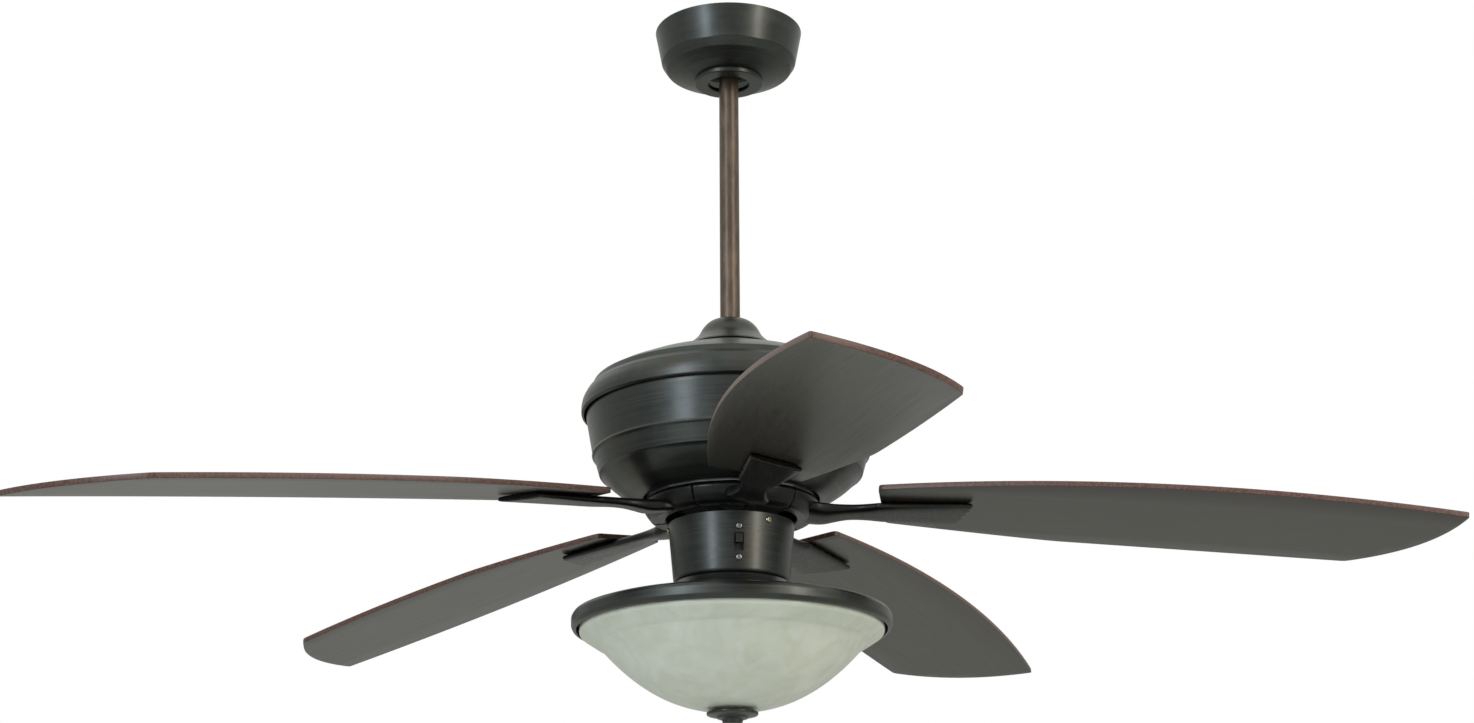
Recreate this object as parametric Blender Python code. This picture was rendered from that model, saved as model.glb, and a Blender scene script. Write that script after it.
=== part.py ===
"""Ceiling fan with a light bowl: five drooping blades on cast irons, hung from a ball on a downrod.

The model stands in metres with +Z up. The origin is on the ceiling, on the fan's axis, so all of
the fan is below z = 0. Sizes are written in millimetres and turned to metres as a mesh is made.
Blade 1 points towards the viewer at -Y, turned BLADE_START degrees towards +X.
"""
from math import atan2, cos, hypot, pi, radians, sin, sqrt

import bmesh
import bpy
from mathutils import Matrix, Vector

MM = 0.001

# Clearances
GAP = 0.3              # between two pieces that touch
RUNNING_GAP = 1.5      # between the rotor and what stands still around it

# Ceiling end
CANOPY_RADIUS = 72.3
CANOPY_DEPTH = 50.0
CANOPY_TAPER = 6.1     # how much narrower the wall is at its foot
CANOPY_WALL = 1.2
CANOPY_HOLE_RADIUS = 20.3
SCREW_COVER_RADIUS = 33.8
SCREW_COVER_HEIGHT = 4.2
BALL_RADIUS = 24.0
BALL_DEPTH = 26.0      # the ball's centre below the ceiling
BRACKET_WIDTH = 36.0
BRACKET_PLATE = 2.0
SEAT_DROP = 12.0       # the seat ring's foot below the ball's centre
SEAT_PLATE = 2.5
SEAT_WIDTH = 10.0
BRACKET_TONGUE = 22.0  # how far the plate runs past each strap
SLOT_WIDTH = 4.6
WIRE_HOLE_RADIUS = 5.0
CANOPY_WALL_HEIGHT = 32.0
CANOPY_SCREW_RADIUS = 1.9

# Downrod and coupling
ROD_RADIUS = 9.525
ROD_WALL = 1.6
ROD_LENGTH = 305.0
PIN_RADIUS = 2.5
YOKE_WALL = 5.0
YOKE_HEIGHT = 32.0
YOKE_FLANGE_RADIUS = 30.0
YOKE_FLANGE = 4.0
SET_SCREW_RADIUS = 2.0
COVER_HEIGHT = 31.0
COVER_RADIUS = 44.8
COVER_WALL = 1.0

# Motor
MOTOR_RADIUS = 141.2   # over the lip of the upper housing
LID_RISE = 64.6        # the lid's crown above the lip's lower edge
LIP_HEIGHT = 25.4
BOWL_DROP = 82.1       # the lip's lower edge above the bowl's foot
MOTOR_OPENING_RADIUS = 82.2
RIDGE_DROP = 39.3      # the ridge below the lip
STEP_DROP = 57.6
HOUSING_WALL = 1.5
SHAFT_RADIUS = 8.5
SHAFT_BORE_RADIUS = 5.5
BEARING_RADIUS = 20.0
BEARING_WIDTH = 10.0
ROTOR_RADIUS = 94.0
STACK_HEIGHT = 25.0
STATOR_RADIUS = 73.0
STATOR_SLOTS = 12
CORE_HUB = 32.0
WINDING_HEIGHT = 9.0

# Blades and irons. A blade's underside is measured from the rotor plane, which it meets at r = 0.
BLADES = 5
BLADE_START = 10.6     # degrees from -Y towards +X
TIP_RADIUS = 660.4     # the sharp corner: a 52 inch sweep
BLADE_ROOT = 141.0
BLADE_THICKNESS = 4.8
BLADE_PITCH = 0.128    # rise across the blade, towards its leading edge
BLADE_DROOP = 0.1097   # fall along the blade
BLADE_SAG = 6.26e-5    # how much the blade bows, per millimetre
LEAD_TIP = 69.0        # half widths, measured from the blade's centre line
TRAIL_TIP = 64.6
TRAIL_SETBACK = 93.5   # how much shorter the trailing edge is than the leading one
TIP_BULGE = 16.1
ROOT_TAPER = 18.0      # how much the trailing edge draws in at the root
TAPER_REACH = 300.0    # where that starts
IRON_INNER = 61.0
IRON_OUTER = 82.5
IRON_TOP = 9.0         # below the rotor plane
IRON_HEIGHT = 18.8
IRON_SPLIT = 0.8
PLATE_END = 226.0
PLATE_SLANT = 20.0     # how much shorter the plate is on its trailing side

# Switch housing and reverse switch
SWITCH_RADIUS = 59.0
SWITCH_TAPER = 5.0
SWITCH_HEIGHT = 55.5
SWITCH_TOP = 31.9      # below the rotor plane
SWITCH_WALL = 1.2
SWITCH_TURN = 7.0      # degrees from -Y towards +X
SWITCH_WINDOW = (9.0, 17.0)
SLIDER_SIZE = (6.4, 8.0)
SLIDER_TRAVEL = 6.0
SWITCH_SCREW_SPACING = 28.8
SWITCH_SCREW_RADIUS = 1.5
SWITCH_BACK = 0.8      # room between the wall and the switch
SWITCH_EAR = 3.5
HOUSING_SCREW_RADIUS = 1.7
HOUSING_SCREW_TURNS = (35.5, 155.5, 275.5)

# Light
PAN_RADIUS = 148.0
PAN_HEIGHT = 44.0
PAN_RIM = 13.2
PAN_NECK_RADIUS = 54.0
PAN_WALL = 1.2
BOWL_RADIUS = 140.5
SHOULDER_RADIUS = 126.0
SHOULDER_DROP = 12.4
BOWL_DEPTH = 60.8      # below the shoulder
BOWL_WALL = 3.4
BOWL_POWER = 2.35
CENTRE_ROD_RADIUS = 4.8
FINIAL_RADIUS = 24.0
FINIAL_HEIGHT = 11.2
FINIAL_BORE = 8.0
WASHER = 1.3
STRAP = 1.5            # thickness of the socket bracket
SOCKET_BACK = 20.5
LEAD_HOLE_Y = 24.0
WIRE_RADIUS = 2.1
SOCKET_RADIUS = 17.0
SOCKET_LENGTH = 34.0
LAMP_RADIUS = 23.0
LAMP_BASE_RADIUS = 12.8
LAMP_LENGTH = 76.0

# Smoothness
BIG = 24
MIDDLE = 16
SMALL = 8

# Heights that follow from the sizes above
BALL_Z = -BALL_DEPTH
CANOPY_RIM_Z = -0.5
CANOPY_FOOT_Z = CANOPY_RIM_Z - CANOPY_DEPTH
ROD_TOP_Z = BALL_Z + 8.0
ROD_FOOT_Z = ROD_TOP_Z - ROD_LENGTH
YOKE_FOOT_Z = ROD_FOOT_Z - 16.0
CLEVIS_Z = ROD_FOOT_Z + 11.0
SET_SCREW_Z = ROD_FOOT_Z + 6.0
CROWN_Z = YOKE_FOOT_Z + YOKE_FLANGE + GAP + HOUSING_WALL
LIP_Z = CROWN_Z - LID_RISE
BOWL_FOOT_Z = LIP_Z - BOWL_DROP
PLANE_Z = BOWL_FOOT_Z + 8.0
IRON_Z = PLANE_Z - IRON_TOP
SWITCH_TOP_Z = PLANE_Z - SWITCH_TOP
SWITCH_FOOT_Z = SWITCH_TOP_Z - SWITCH_HEIGHT
PAN_TOP_Z = SWITCH_FOOT_Z - GAP
PAN_FOOT_Z = PAN_TOP_Z - PAN_HEIGHT
SHOULDER_Z = PAN_FOOT_Z - SHOULDER_DROP
BOWL_LOW_Z = SHOULDER_Z - BOWL_DEPTH
STACK_Z = PLANE_Z + 34.0
SHAFT_TOP_Z = ROD_FOOT_Z - 4.0
SHAFT_FOOT_Z = SWITCH_TOP_Z - 14.0
SOCKET_Z = PAN_FOOT_Z - 7.0


# ---------------------------------------------------------------- outlines

def arc(centre, radius, start, end, steps):
    """Points on an arc of a turned outline, angles in degrees from +r towards +Z."""
    points = []
    for i in range(steps + 1):
        angle = radians(start + (end - start) * i / steps)
        points.append((centre[0] + radius * cos(angle), centre[1] + radius * sin(angle)))
    return points


def inside(outline, wall):
    """The outline moved in by the wall, for an outline that runs down its outer side."""
    moved = []
    last = len(outline) - 1
    for i, (r, z) in enumerate(outline):
        normals = []
        for a, b in ((i - 1, i), (i, i + 1)):
            if a < 0 or b > last:
                continue
            run = outline[b][0] - outline[a][0], outline[b][1] - outline[a][1]
            length = hypot(*run)
            normals.append((run[1] / length, -run[0] / length))
        n = sum(v[0] for v in normals), sum(v[1] for v in normals)
        size = hypot(*n)
        n = n[0] / size, n[1] / size
        share = n[0] * normals[0][0] + n[1] * normals[0][1]
        moved.append((r + n[0] * wall / share, z + n[1] * wall / share))
    return moved


def shell(outline, wall):
    """A closed outline of sheet whose outer side is the given one."""
    return outline + inside(outline, wall)[::-1]


def ring(inner, outer, low, high):
    """The outline of a plain ring."""
    return [(outer, high), (outer, low), (inner, low), (inner, high)]


# ---------------------------------------------------------------- meshes

def new_object(name, mesh_data, material):
    bmesh.ops.recalc_face_normals(mesh_data, faces=mesh_data.faces)
    bmesh.ops.scale(mesh_data, vec=(MM, MM, MM), verts=mesh_data.verts)
    mesh = bpy.data.meshes.new(name)
    mesh_data.to_mesh(mesh)
    mesh_data.free()
    mesh.materials.append(material)
    thing = bpy.data.objects.new(name, mesh)
    bpy.context.collection.objects.link(thing)
    mesh.shade_smooth()
    mesh.set_sharp_from_angle(angle=radians(35))
    return thing


def turned(outline, segments, closed=True):
    """A body turned about Z. An open outline starts and ends on the axis."""
    data = bmesh.new()
    corners = [data.verts.new((r, 0, z)) for r, z in outline]
    pairs = list(zip(corners, corners[1:]))
    if closed:
        pairs.append((corners[-1], corners[0]))
    edges = [data.edges.new(pair) for pair in pairs]
    bmesh.ops.spin(data, geom=corners + edges, cent=(0, 0, 0), axis=(0, 0, 1), dvec=(0, 0, 0),
                   angle=2 * pi, steps=segments, use_merge=True, use_normal_flip=False,
                   use_duplicate=False)
    bmesh.ops.remove_doubles(data, verts=data.verts, dist=0.001)
    return data


def loft(sections):
    """A body through rings of points, with a flat face at each end."""
    data = bmesh.new()
    rows = [[data.verts.new(point) for point in section] for section in sections]
    count = len(rows[0])
    for row, after in zip(rows, rows[1:]):
        for j in range(count):
            k = (j + 1) % count
            data.faces.new((row[j], row[k], after[k], after[j]))
    data.faces.new(rows[0])
    data.faces.new(rows[-1][::-1])
    return data


def block(low, high, round_edge=0.0):
    """A box between two corners, with bevelled edges where asked."""
    data = bmesh.new()
    size = [b - a for a, b in zip(low, high)]
    middle = [(a + b) / 2 for a, b in zip(low, high)]
    bmesh.ops.create_cube(data, size=1.0, matrix=Matrix.Translation(middle) @ Matrix.Diagonal((*size, 1)))
    if round_edge:
        bmesh.ops.bevel(data, geom=data.edges[:], offset=round_edge, segments=2, profile=0.5,
                        affect="EDGES", clamp_overlap=True)
    return data


def bar(radius, length, segments, at=(0, 0, 0), along=(0, 0, 1)):
    """A round bar that starts at a point and runs along a direction."""
    data = bmesh.new()
    bmesh.ops.create_cone(data, cap_ends=True, segments=segments, radius1=radius, radius2=radius,
                          depth=length)
    turn = Vector(along).to_track_quat("Z", "Y").to_matrix().to_4x4()
    middle = Vector(at) + Vector(along).normalized() * length / 2
    bmesh.ops.transform(data, matrix=Matrix.Translation(middle) @ turn, verts=data.verts)
    return data


def moved(data, matrix):
    bmesh.ops.transform(data, matrix=matrix, verts=data.verts)
    return data


def weld(mesh):
    """Closes the hairline cracks that a Boolean can leave."""
    data = bmesh.new()
    data.from_mesh(mesh)
    bmesh.ops.remove_doubles(data, verts=data.verts, dist=0.01 * MM)
    bmesh.ops.dissolve_degenerate(data, edges=data.edges, dist=0.001 * MM)
    data.to_mesh(mesh)
    data.free()


def combine(thing, operation, *tools):
    """Cuts or joins with Boolean modifiers, applied one after another."""
    for tool_data in tools:
        tool = new_object("tool", tool_data, None)
        modifier = thing.modifiers.new(operation, "BOOLEAN")
        modifier.operation = operation
        modifier.solver = "EXACT"
        modifier.object = tool
        bpy.context.view_layer.update()
        graph = bpy.context.evaluated_depsgraph_get()
        result = bpy.data.meshes.new_from_object(thing.evaluated_get(graph))
        thing.modifiers.clear()
        weld(result)
        old, thing.data = thing.data, result
        result.name = thing.name
        bpy.data.meshes.remove(old)
        bpy.data.objects.remove(tool)
    return thing


# ---------------------------------------------------------------- finishes

def finish(name, colour, roughness, metallic):
    material = bpy.data.materials.new(name)
    material.use_nodes = True
    shader = material.node_tree.nodes["Principled BSDF"]
    shader.inputs["Base Color"].default_value = (*colour, 1.0)
    shader.inputs["Roughness"].default_value = roughness
    shader.inputs["Metallic"].default_value = metallic
    return material


def make_finishes():
    return {
        "bronze": finish("oil_rubbed_bronze", (0.022, 0.022, 0.022), 0.38, 0.7),
        "rod": finish("brown_bronze_tube", (0.085, 0.052, 0.036), 0.42, 0.6),
        "blade": finish("dark_walnut_veneer", (0.045, 0.036, 0.030), 0.55, 0.0),
        "glass": finish("alabaster_glass", (0.78, 0.80, 0.70), 0.35, 0.0),
        "steel": finish("zinc_plated_steel", (0.55, 0.55, 0.56), 0.35, 1.0),
        "brass": finish("brass", (0.70, 0.52, 0.24), 0.30, 1.0),
        "aluminium": finish("cast_aluminium", (0.50, 0.51, 0.52), 0.50, 1.0),
        "core": finish("silicon_steel", (0.30, 0.31, 0.33), 0.50, 1.0),
        "copper": finish("enamelled_copper", (0.60, 0.24, 0.11), 0.35, 1.0),
        "black": finish("black_nylon", (0.03, 0.03, 0.03), 0.50, 0.0),
        "rubber": finish("clear_rubber", (0.60, 0.60, 0.56), 0.70, 0.0),
        "porcelain": finish("porcelain", (0.85, 0.84, 0.80), 0.25, 0.0),
        "lamp": finish("frosted_lamp_glass", (0.90, 0.90, 0.88), 0.30, 0.0),
        "wire": finish("wire_sleeve", (0.02, 0.02, 0.02), 0.60, 0.0),
    }


# ---------------------------------------------------------------- ceiling end

def make_bracket(kit):
    """A plate against the ceiling box, two straps and the round seat that carries the ball."""
    seat_z = BALL_Z - SEAT_DROP
    seat_top = seat_z + SEAT_PLATE
    seat_hole = sqrt(BALL_RADIUS ** 2 - (BALL_Z - seat_top) ** 2) + 2 * GAP
    strap_x = seat_hole + SEAT_WIDTH
    half = BRACKET_WIDTH / 2
    end = strap_x + BRACKET_TONGUE
    plate = new_object("hanger_bracket", block((-end, -half, -BRACKET_PLATE), (end, half, 0)),
                       kit["steel"])
    straps = [block((x - 1, 2 - half, seat_z + 0.7), (x + 1, half - 2, -0.7)) for x in (-strap_x, strap_x)]
    seat = turned(ring(seat_hole, strap_x + 1.5, seat_z, seat_top), MIDDLE)
    combine(plate, "UNION", *straps, seat)
    slots = [block((x - 8, -SLOT_WIDTH / 2, -4), (x + 8, SLOT_WIDTH / 2, 4))
             for x in (-end + 12, end - 12)]
    tapped = [bar(CANOPY_SCREW_RADIUS + GAP, 8.0, SMALL, (x, 0, seat_z - 4.0))
              for x in (-canopy_screw_x(), canopy_screw_x())]
    wire_holes = [bar(WIRE_HOLE_RADIUS, 8.0, SMALL, (x, 0, -5.0)) for x in (-20.0, 20.0)]
    combine(plate, "DIFFERENCE", *slots, *tapped, *wire_holes)
    return [plate]


def canopy_screw_x():
    """The screws enter the middle of the bracket's seat."""
    return BALL_RADIUS + SEAT_WIDTH / 2


def make_canopy(kit):
    foot_r = CANOPY_RADIUS - CANOPY_TAPER
    boss_r = SCREW_COVER_RADIUS - 1.5
    outline = [(CANOPY_RADIUS, CANOPY_RIM_Z), (foot_r, CANOPY_RIM_Z - CANOPY_WALL_HEIGHT)]
    outline += [(foot_r - 1.5, CANOPY_RIM_Z - CANOPY_WALL_HEIGHT - 4.5),
                (foot_r - 5.0, CANOPY_RIM_Z - CANOPY_WALL_HEIGHT - 7.7),
                (boss_r + 14.0, CANOPY_FOOT_Z + 4.5), (boss_r, CANOPY_FOOT_Z),
                (CANOPY_HOLE_RADIUS + 2.5, CANOPY_FOOT_Z)]
    canopy = new_object("canopy", turned(shell(outline, CANOPY_WALL), BIG), kit["bronze"])
    holes = [bar(CANOPY_SCREW_RADIUS + GAP, 8.0, SMALL, (x, 0, CANOPY_FOOT_Z - 3.0))
             for x in (-canopy_screw_x(), canopy_screw_x())]
    combine(canopy, "DIFFERENCE", *holes)
    return [canopy]


def make_screw_cover(kit):
    """The turned ring that snaps over the canopy's screws."""
    top = CANOPY_FOOT_Z - GAP
    foot = top - SCREW_COVER_HEIGHT
    outline = [(SCREW_COVER_RADIUS, top), (SCREW_COVER_RADIUS, foot + 1.6),
               (SCREW_COVER_RADIUS - 1.6, foot), (CANOPY_HOLE_RADIUS + 0.8, foot),
               (CANOPY_HOLE_RADIUS, foot + 0.8), (CANOPY_HOLE_RADIUS, top),
               (CANOPY_HOLE_RADIUS + 1.2, top), (CANOPY_HOLE_RADIUS + 1.2, foot + 1.4),
               (SCREW_COVER_RADIUS - 1.4, foot + 1.8), (SCREW_COVER_RADIUS - 1.4, top)]
    return [new_object("canopy_screw_cover", turned(outline, BIG), kit["bronze"])]


def screw(name, length, shank, head, rise, place, material):
    """A pan head screw along -Z with the underside of its head at the origin, then placed."""
    outline = [(0, rise), (head * 0.7, rise * 0.85), (head, rise * 0.25), (head, 0), (shank, 0),
               (shank, -length + shank), (0, -length)]
    return new_object(name, moved(turned(outline, SMALL, closed=False), place), material)


def make_canopy_screws(kit):
    screws = []
    seat_top = BALL_Z - SEAT_DROP + SEAT_PLATE
    for number, side in enumerate((-1, 1), 1):
        at = (side * canopy_screw_x(), 0, CANOPY_FOOT_Z - GAP)
        length = seat_top + 1.0 - at[2]
        place = Matrix.Translation(at) @ Matrix.Rotation(pi, 4, "X")
        screws.append(screw(f"canopy_screw_{number}", length, CANOPY_SCREW_RADIUS, 3.2, 1.5, place,
                            kit["steel"]))
    return screws


# ---------------------------------------------------------------- ball, downrod and coupling

def make_ball(kit):
    top, foot = radians(38.0), radians(-50.0)
    bore = ROD_RADIUS + GAP
    outline = arc((0, BALL_Z), BALL_RADIUS, 38.0, -50.0, 9)
    outline += [(bore, BALL_Z + BALL_RADIUS * sin(foot)), (bore, BALL_Z + BALL_RADIUS * sin(top))]
    ball = new_object("hanger_ball", turned(outline, MIDDLE), kit["black"])
    hole = bar(PIN_RADIUS + GAP, 3 * BALL_RADIUS, SMALL, (0, -1.5 * BALL_RADIUS, BALL_Z), (0, 1, 0))
    return [combine(ball, "DIFFERENCE", hole)]


def make_downrod(kit):
    rod = new_object("downrod", turned(ring(ROD_RADIUS - ROD_WALL, ROD_RADIUS, ROD_FOOT_Z, ROD_TOP_Z),
                                       MIDDLE), kit["rod"])
    holes = [bar(PIN_RADIUS + GAP, 4 * ROD_RADIUS, SMALL, (0, -2 * ROD_RADIUS, z), (0, 1, 0))
             for z in (BALL_Z, CLEVIS_Z)]
    return [combine(rod, "DIFFERENCE", *holes)]


def make_pins(kit):
    reach = BALL_RADIUS - 5.0
    cross = new_object("ball_cross_pin", bar(PIN_RADIUS, 2 * reach, SMALL, (0, -reach, BALL_Z), (0, 1, 0)),
                       kit["steel"])
    face = yoke_collar_radius() + GAP
    place = Matrix.Translation((0, -face, CLEVIS_Z)) @ Matrix.Rotation(pi / 2, 4, "X")
    clevis = screw("clevis_pin", 2 * face + 2.0, PIN_RADIUS, 4.0, 2.0, place, kit["steel"])
    return [cross, clevis]


def yoke_collar_radius():
    return ROD_RADIUS + GAP + YOKE_WALL


def make_yoke(kit):
    """The cast coupling: a collar for the rod, a flange under the motor's lid, a bore for the shaft."""
    collar = yoke_collar_radius()
    flange = YOKE_FOOT_Z + YOKE_FLANGE
    outline = [(collar, YOKE_FOOT_Z + YOKE_HEIGHT), (collar, flange), (YOKE_FLANGE_RADIUS, flange),
               (YOKE_FLANGE_RADIUS, YOKE_FOOT_Z), (SHAFT_RADIUS + GAP, YOKE_FOOT_Z),
               (SHAFT_RADIUS + GAP, ROD_FOOT_Z - 2.0), (ROD_RADIUS + GAP, ROD_FOOT_Z - GAP),
               (ROD_RADIUS + GAP, YOKE_FOOT_Z + YOKE_HEIGHT)]
    yoke = new_object("yoke", turned(outline, MIDDLE), kit["steel"])
    pin_hole = bar(PIN_RADIUS + GAP, 4 * collar, SMALL, (0, -2 * collar, CLEVIS_Z), (0, 1, 0))
    screw_hole = bar(SET_SCREW_RADIUS + GAP, 4 * collar, SMALL, (-2 * collar, 0, SET_SCREW_Z), (1, 0, 0))
    return [combine(yoke, "DIFFERENCE", pin_hole, screw_hole)]


def make_set_screws(kit):
    screws = []
    for number, side in enumerate((-1, 1), 1):
        at = (side * (ROD_RADIUS + GAP), 0, SET_SCREW_Z)
        data = bar(SET_SCREW_RADIUS, YOKE_WALL + 2.0, SMALL, at, (side, 0, 0))
        screws.append(new_object(f"yoke_set_screw_{number}", data, kit["steel"]))
    return screws


def make_coupling_cover(kit):
    """The spun cup over the coupling: a round shoulder that flares out to the motor's lid."""
    base = CROWN_Z + GAP
    neck = ROD_RADIUS + 1.0
    bell = ((0.0, 1.0), (0.17, 0.97), (0.32, 0.88), (0.46, 0.71), (0.60, 0.44), (0.79, 0.23),
            (0.94, 0.11), (1.0, 0.04))
    outline = [(neck + (COVER_RADIUS - neck) * out, base + COVER_HEIGHT * up) for out, up in bell]
    return [new_object("coupling_cover", turned(shell(outline, COVER_WALL), MIDDLE), kit["bronze"])]


# ---------------------------------------------------------------- motor

def make_upper_housing(kit):
    """The spun lid: a shallow cone, a crease, and a lip that overhangs the lower housing."""
    m = MOTOR_RADIUS
    crown, lip = CROWN_Z, LIP_Z
    band = lip + LIP_HEIGHT
    hole = yoke_collar_radius() + GAP
    outline = [(hole, crown), (COVER_RADIUS, crown)]
    cone = [(COVER_RADIUS, crown), (m - 11.0, band + 5.0)]
    for share, swell in ((0.6, 2.1), (0.88, 1.5)):
        outline.append((cone[0][0] + (cone[1][0] - cone[0][0]) * share,
                        cone[0][1] + (cone[1][1] - cone[0][1]) * share + swell))
    outline += [cone[1], (m - 9.6, band), (m - 5.0, band - 4.4), (m - 1.0, lip + 13.6), (m, lip + 7.4),
                (m - 0.5, lip)]
    return [new_object("motor_upper_housing", turned(shell(outline, HOUSING_WALL), BIG), kit["bronze"])]


def make_lower_housing(kit):
    """The bowl under the lip: a tapered wall, a ridge, a second wall and a round foot."""
    m = MOTOR_RADIUS
    lip = LIP_Z
    opening = MOTOR_OPENING_RADIUS
    outline = [(m - 5.0, lip + 12.0), (m - 5.0, lip - 3.5), (m - 11.4, lip - RIDGE_DROP),
               (m - 13.0, lip - RIDGE_DROP - 2.0), (m - 17.5, lip - STEP_DROP)]
    start = m - 19.9, lip - STEP_DROP - 1.0
    end = opening + 1.5, BOWL_FOOT_Z
    pull = (start[0] + end[0]) / 2, BOWL_FOOT_Z + 6.0
    for i in range(5):
        t = i / 4
        outline.append(tuple((1 - t) ** 2 * a + 2 * t * (1 - t) * b + t * t * c
                             for a, b, c in zip(start, pull, end)))
    return [new_object("motor_lower_housing", turned(shell(outline, HOUSING_WALL), BIG), kit["bronze"])]


def make_shaft(kit):
    """The hollow shaft, with the collar that carries the lower bearing and stops the switch plate."""
    collar_top = PLANE_Z + 2.0 - BEARING_WIDTH / 2 - GAP
    collar_foot = SWITCH_TOP_Z - 2.0 + GAP
    collar = SHAFT_RADIUS + 3.5
    outline = [(SHAFT_RADIUS, SHAFT_TOP_Z), (SHAFT_RADIUS, collar_top), (collar, collar_top),
               (collar, collar_foot), (SHAFT_RADIUS, collar_foot), (SHAFT_RADIUS, SHAFT_FOOT_Z),
               (SHAFT_BORE_RADIUS, SHAFT_FOOT_Z), (SHAFT_BORE_RADIUS, SHAFT_TOP_Z)]
    return [new_object("stator_shaft", turned(outline, MIDDLE), kit["steel"])]


def pierced_prism(edge, bore, low, high):
    """A prism with a round bore. The edge is a list of (angle, radius)."""
    data = bmesh.new()
    rows = []
    for z in (low, high):
        rows.append([data.verts.new((r * cos(a), r * sin(a), z)) for a, r in edge])
        rows.append([data.verts.new((bore * cos(a), bore * sin(a), z)) for a, _ in edge])
    outer_low, inner_low, outer_high, inner_high = rows
    count = len(edge)
    for j in range(count):
        k = (j + 1) % count
        data.faces.new((outer_low[j], outer_low[k], outer_high[k], outer_high[j]))
        data.faces.new((inner_low[j], inner_high[j], inner_high[k], inner_low[k]))
        data.faces.new((outer_low[j], inner_low[j], inner_low[k], outer_low[k]))
        data.faces.new((outer_high[j], outer_high[k], inner_high[k], inner_high[j]))
    return data


def hex_nut(bore, half_flat, low, high):
    """A hexagon nut. Its bore is a polygon drawn round the stated radius, so a shaft clears its flats."""
    sides = 12
    turns = [2 * pi * i / sides for i in range(sides)]
    return pierced_prism([(turn, half_flat / cos((turn % (pi / 3)) - pi / 6)) for turn in turns],
                         bore / cos(pi / sides), low, high)


def make_stator(kit):
    """The slotted lamination stack and the winding heads above and below it."""
    low, high = STACK_Z - STACK_HEIGHT / 2, STACK_Z + STACK_HEIGHT / 2
    pitch = 2 * pi / STATOR_SLOTS
    slot = 0.25 * pitch
    slot_floor = SHAFT_RADIUS + GAP + CORE_HUB
    edge = []
    for i in range(STATOR_SLOTS):
        middle = i * pitch
        edge += [(middle - slot, STATOR_RADIUS), (middle - 0.98 * slot, slot_floor),
                 (middle + 0.98 * slot, slot_floor), (middle + slot, STATOR_RADIUS),
                 (middle + pitch / 2, STATOR_RADIUS)]
    bore = SHAFT_RADIUS + GAP
    core = new_object("stator_core", pierced_prism(edge, bore, low, high), kit["core"])
    pieces = [core]
    for name, z, side in (("winding_upper", high, 1), ("winding_lower", low, -1)):
        near = z + side * GAP
        far = z + side * (GAP + WINDING_HEIGHT)
        outline = ring(slot_floor, STATOR_RADIUS - 7, min(near, far), max(near, far))
        pieces.append(new_object(name, turned(outline, MIDDLE), kit["copper"]))
    return pieces


def make_rotor(kit):
    """Two cast shells and the lamination ring between them, on ball bearings on the fixed shaft."""
    low, high = STACK_Z - STACK_HEIGHT / 2, STACK_Z + STACK_HEIGHT / 2
    outer, rim = ROTOR_RADIUS, ROTOR_RADIUS - 5.0
    seat, hub = BEARING_RADIUS + GAP, BEARING_RADIUS + 6.0
    floor = PLANE_Z + 2.0
    boss_in, boss_out = IRON_INNER + 1.5, IRON_OUTER - 2.5
    foot = IRON_Z + GAP
    lower = [(outer, low - GAP), (outer, floor), (boss_out, floor), (boss_out, foot), (boss_in, foot),
             (boss_in, floor), (hub, floor), (hub, floor - 6.0), (seat, floor - 6.0),
             (seat, floor + 6.0), (hub, floor + 6.0), (hub, floor + 3.0), (rim, floor + 3.0),
             (rim, low - GAP)]
    roof = high + WINDING_HEIGHT + 8.0
    upper = [(hub, roof + 6.0), (hub, roof), (outer - 4.0, roof), (outer, roof - 4.0),
             (outer, high + GAP), (rim, high + GAP), (rim, roof - 4.0), (hub, roof - 4.0),
             (hub, roof - 6.0), (seat, roof - 6.0), (seat, roof + 6.0)]
    inner = STATOR_RADIUS + RUNNING_GAP
    shaft = SHAFT_RADIUS + 2 * GAP
    half = BEARING_WIDTH / 2
    return [new_object("rotor_lower_shell", turned(lower, MIDDLE), kit["aluminium"]),
            new_object("rotor_upper_shell", turned(upper, MIDDLE), kit["aluminium"]),
            new_object("rotor_ring", turned(ring(inner, outer, low, high), MIDDLE), kit["core"]),
            new_object("bearing_lower", turned(ring(shaft, BEARING_RADIUS, floor - half, floor + half),
                                               MIDDLE), kit["steel"]),
            new_object("bearing_upper", turned(ring(shaft, BEARING_RADIUS, roof - half, roof + half),
                                               MIDDLE), kit["steel"])]


# ---------------------------------------------------------------- blades and irons

def blade_frame(number):
    """Turns a blade's own axes, along +X and leading edge on +Y, to its place around the rotor."""
    angle = radians(BLADE_START + 360.0 / BLADES * (number - 1) - 90.0)
    flip = Matrix.Diagonal((1, -1, 1, 1))
    return Matrix.Rotation(angle, 4, "Z") @ flip


def underside(r, s):
    """Height of a blade's underside at r along and s across, s positive on the leading side."""
    return PLANE_Z + BLADE_PITCH * s - BLADE_DROOP * r - BLADE_SAG * (r - 0.65 * TIP_RADIUS) ** 2


def lead_edge(r):
    u = (tip_reach() - r) / TIP_RADIUS
    return LEAD_TIP + TIP_RADIUS * (0.1339 * u - 0.2280 * u * u)


def trail_edge(r):
    u = (trail_end() - r) / TIP_RADIUS
    taper = max(0.0, (TAPER_REACH - r) / (TAPER_REACH - BLADE_ROOT))
    return -TRAIL_TIP - TIP_RADIUS * (0.0449 * u - 0.1084 * u * u) + ROOT_TAPER * taper ** 1.2


def tip_reach():
    """How far along the blade the sharp corner lies, for the corner to be at TIP_RADIUS."""
    return sqrt(TIP_RADIUS ** 2 - LEAD_TIP ** 2)


def trail_end():
    """Where the trailing edge meets the tip edge."""
    return tip_reach() - TRAIL_SETBACK


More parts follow.
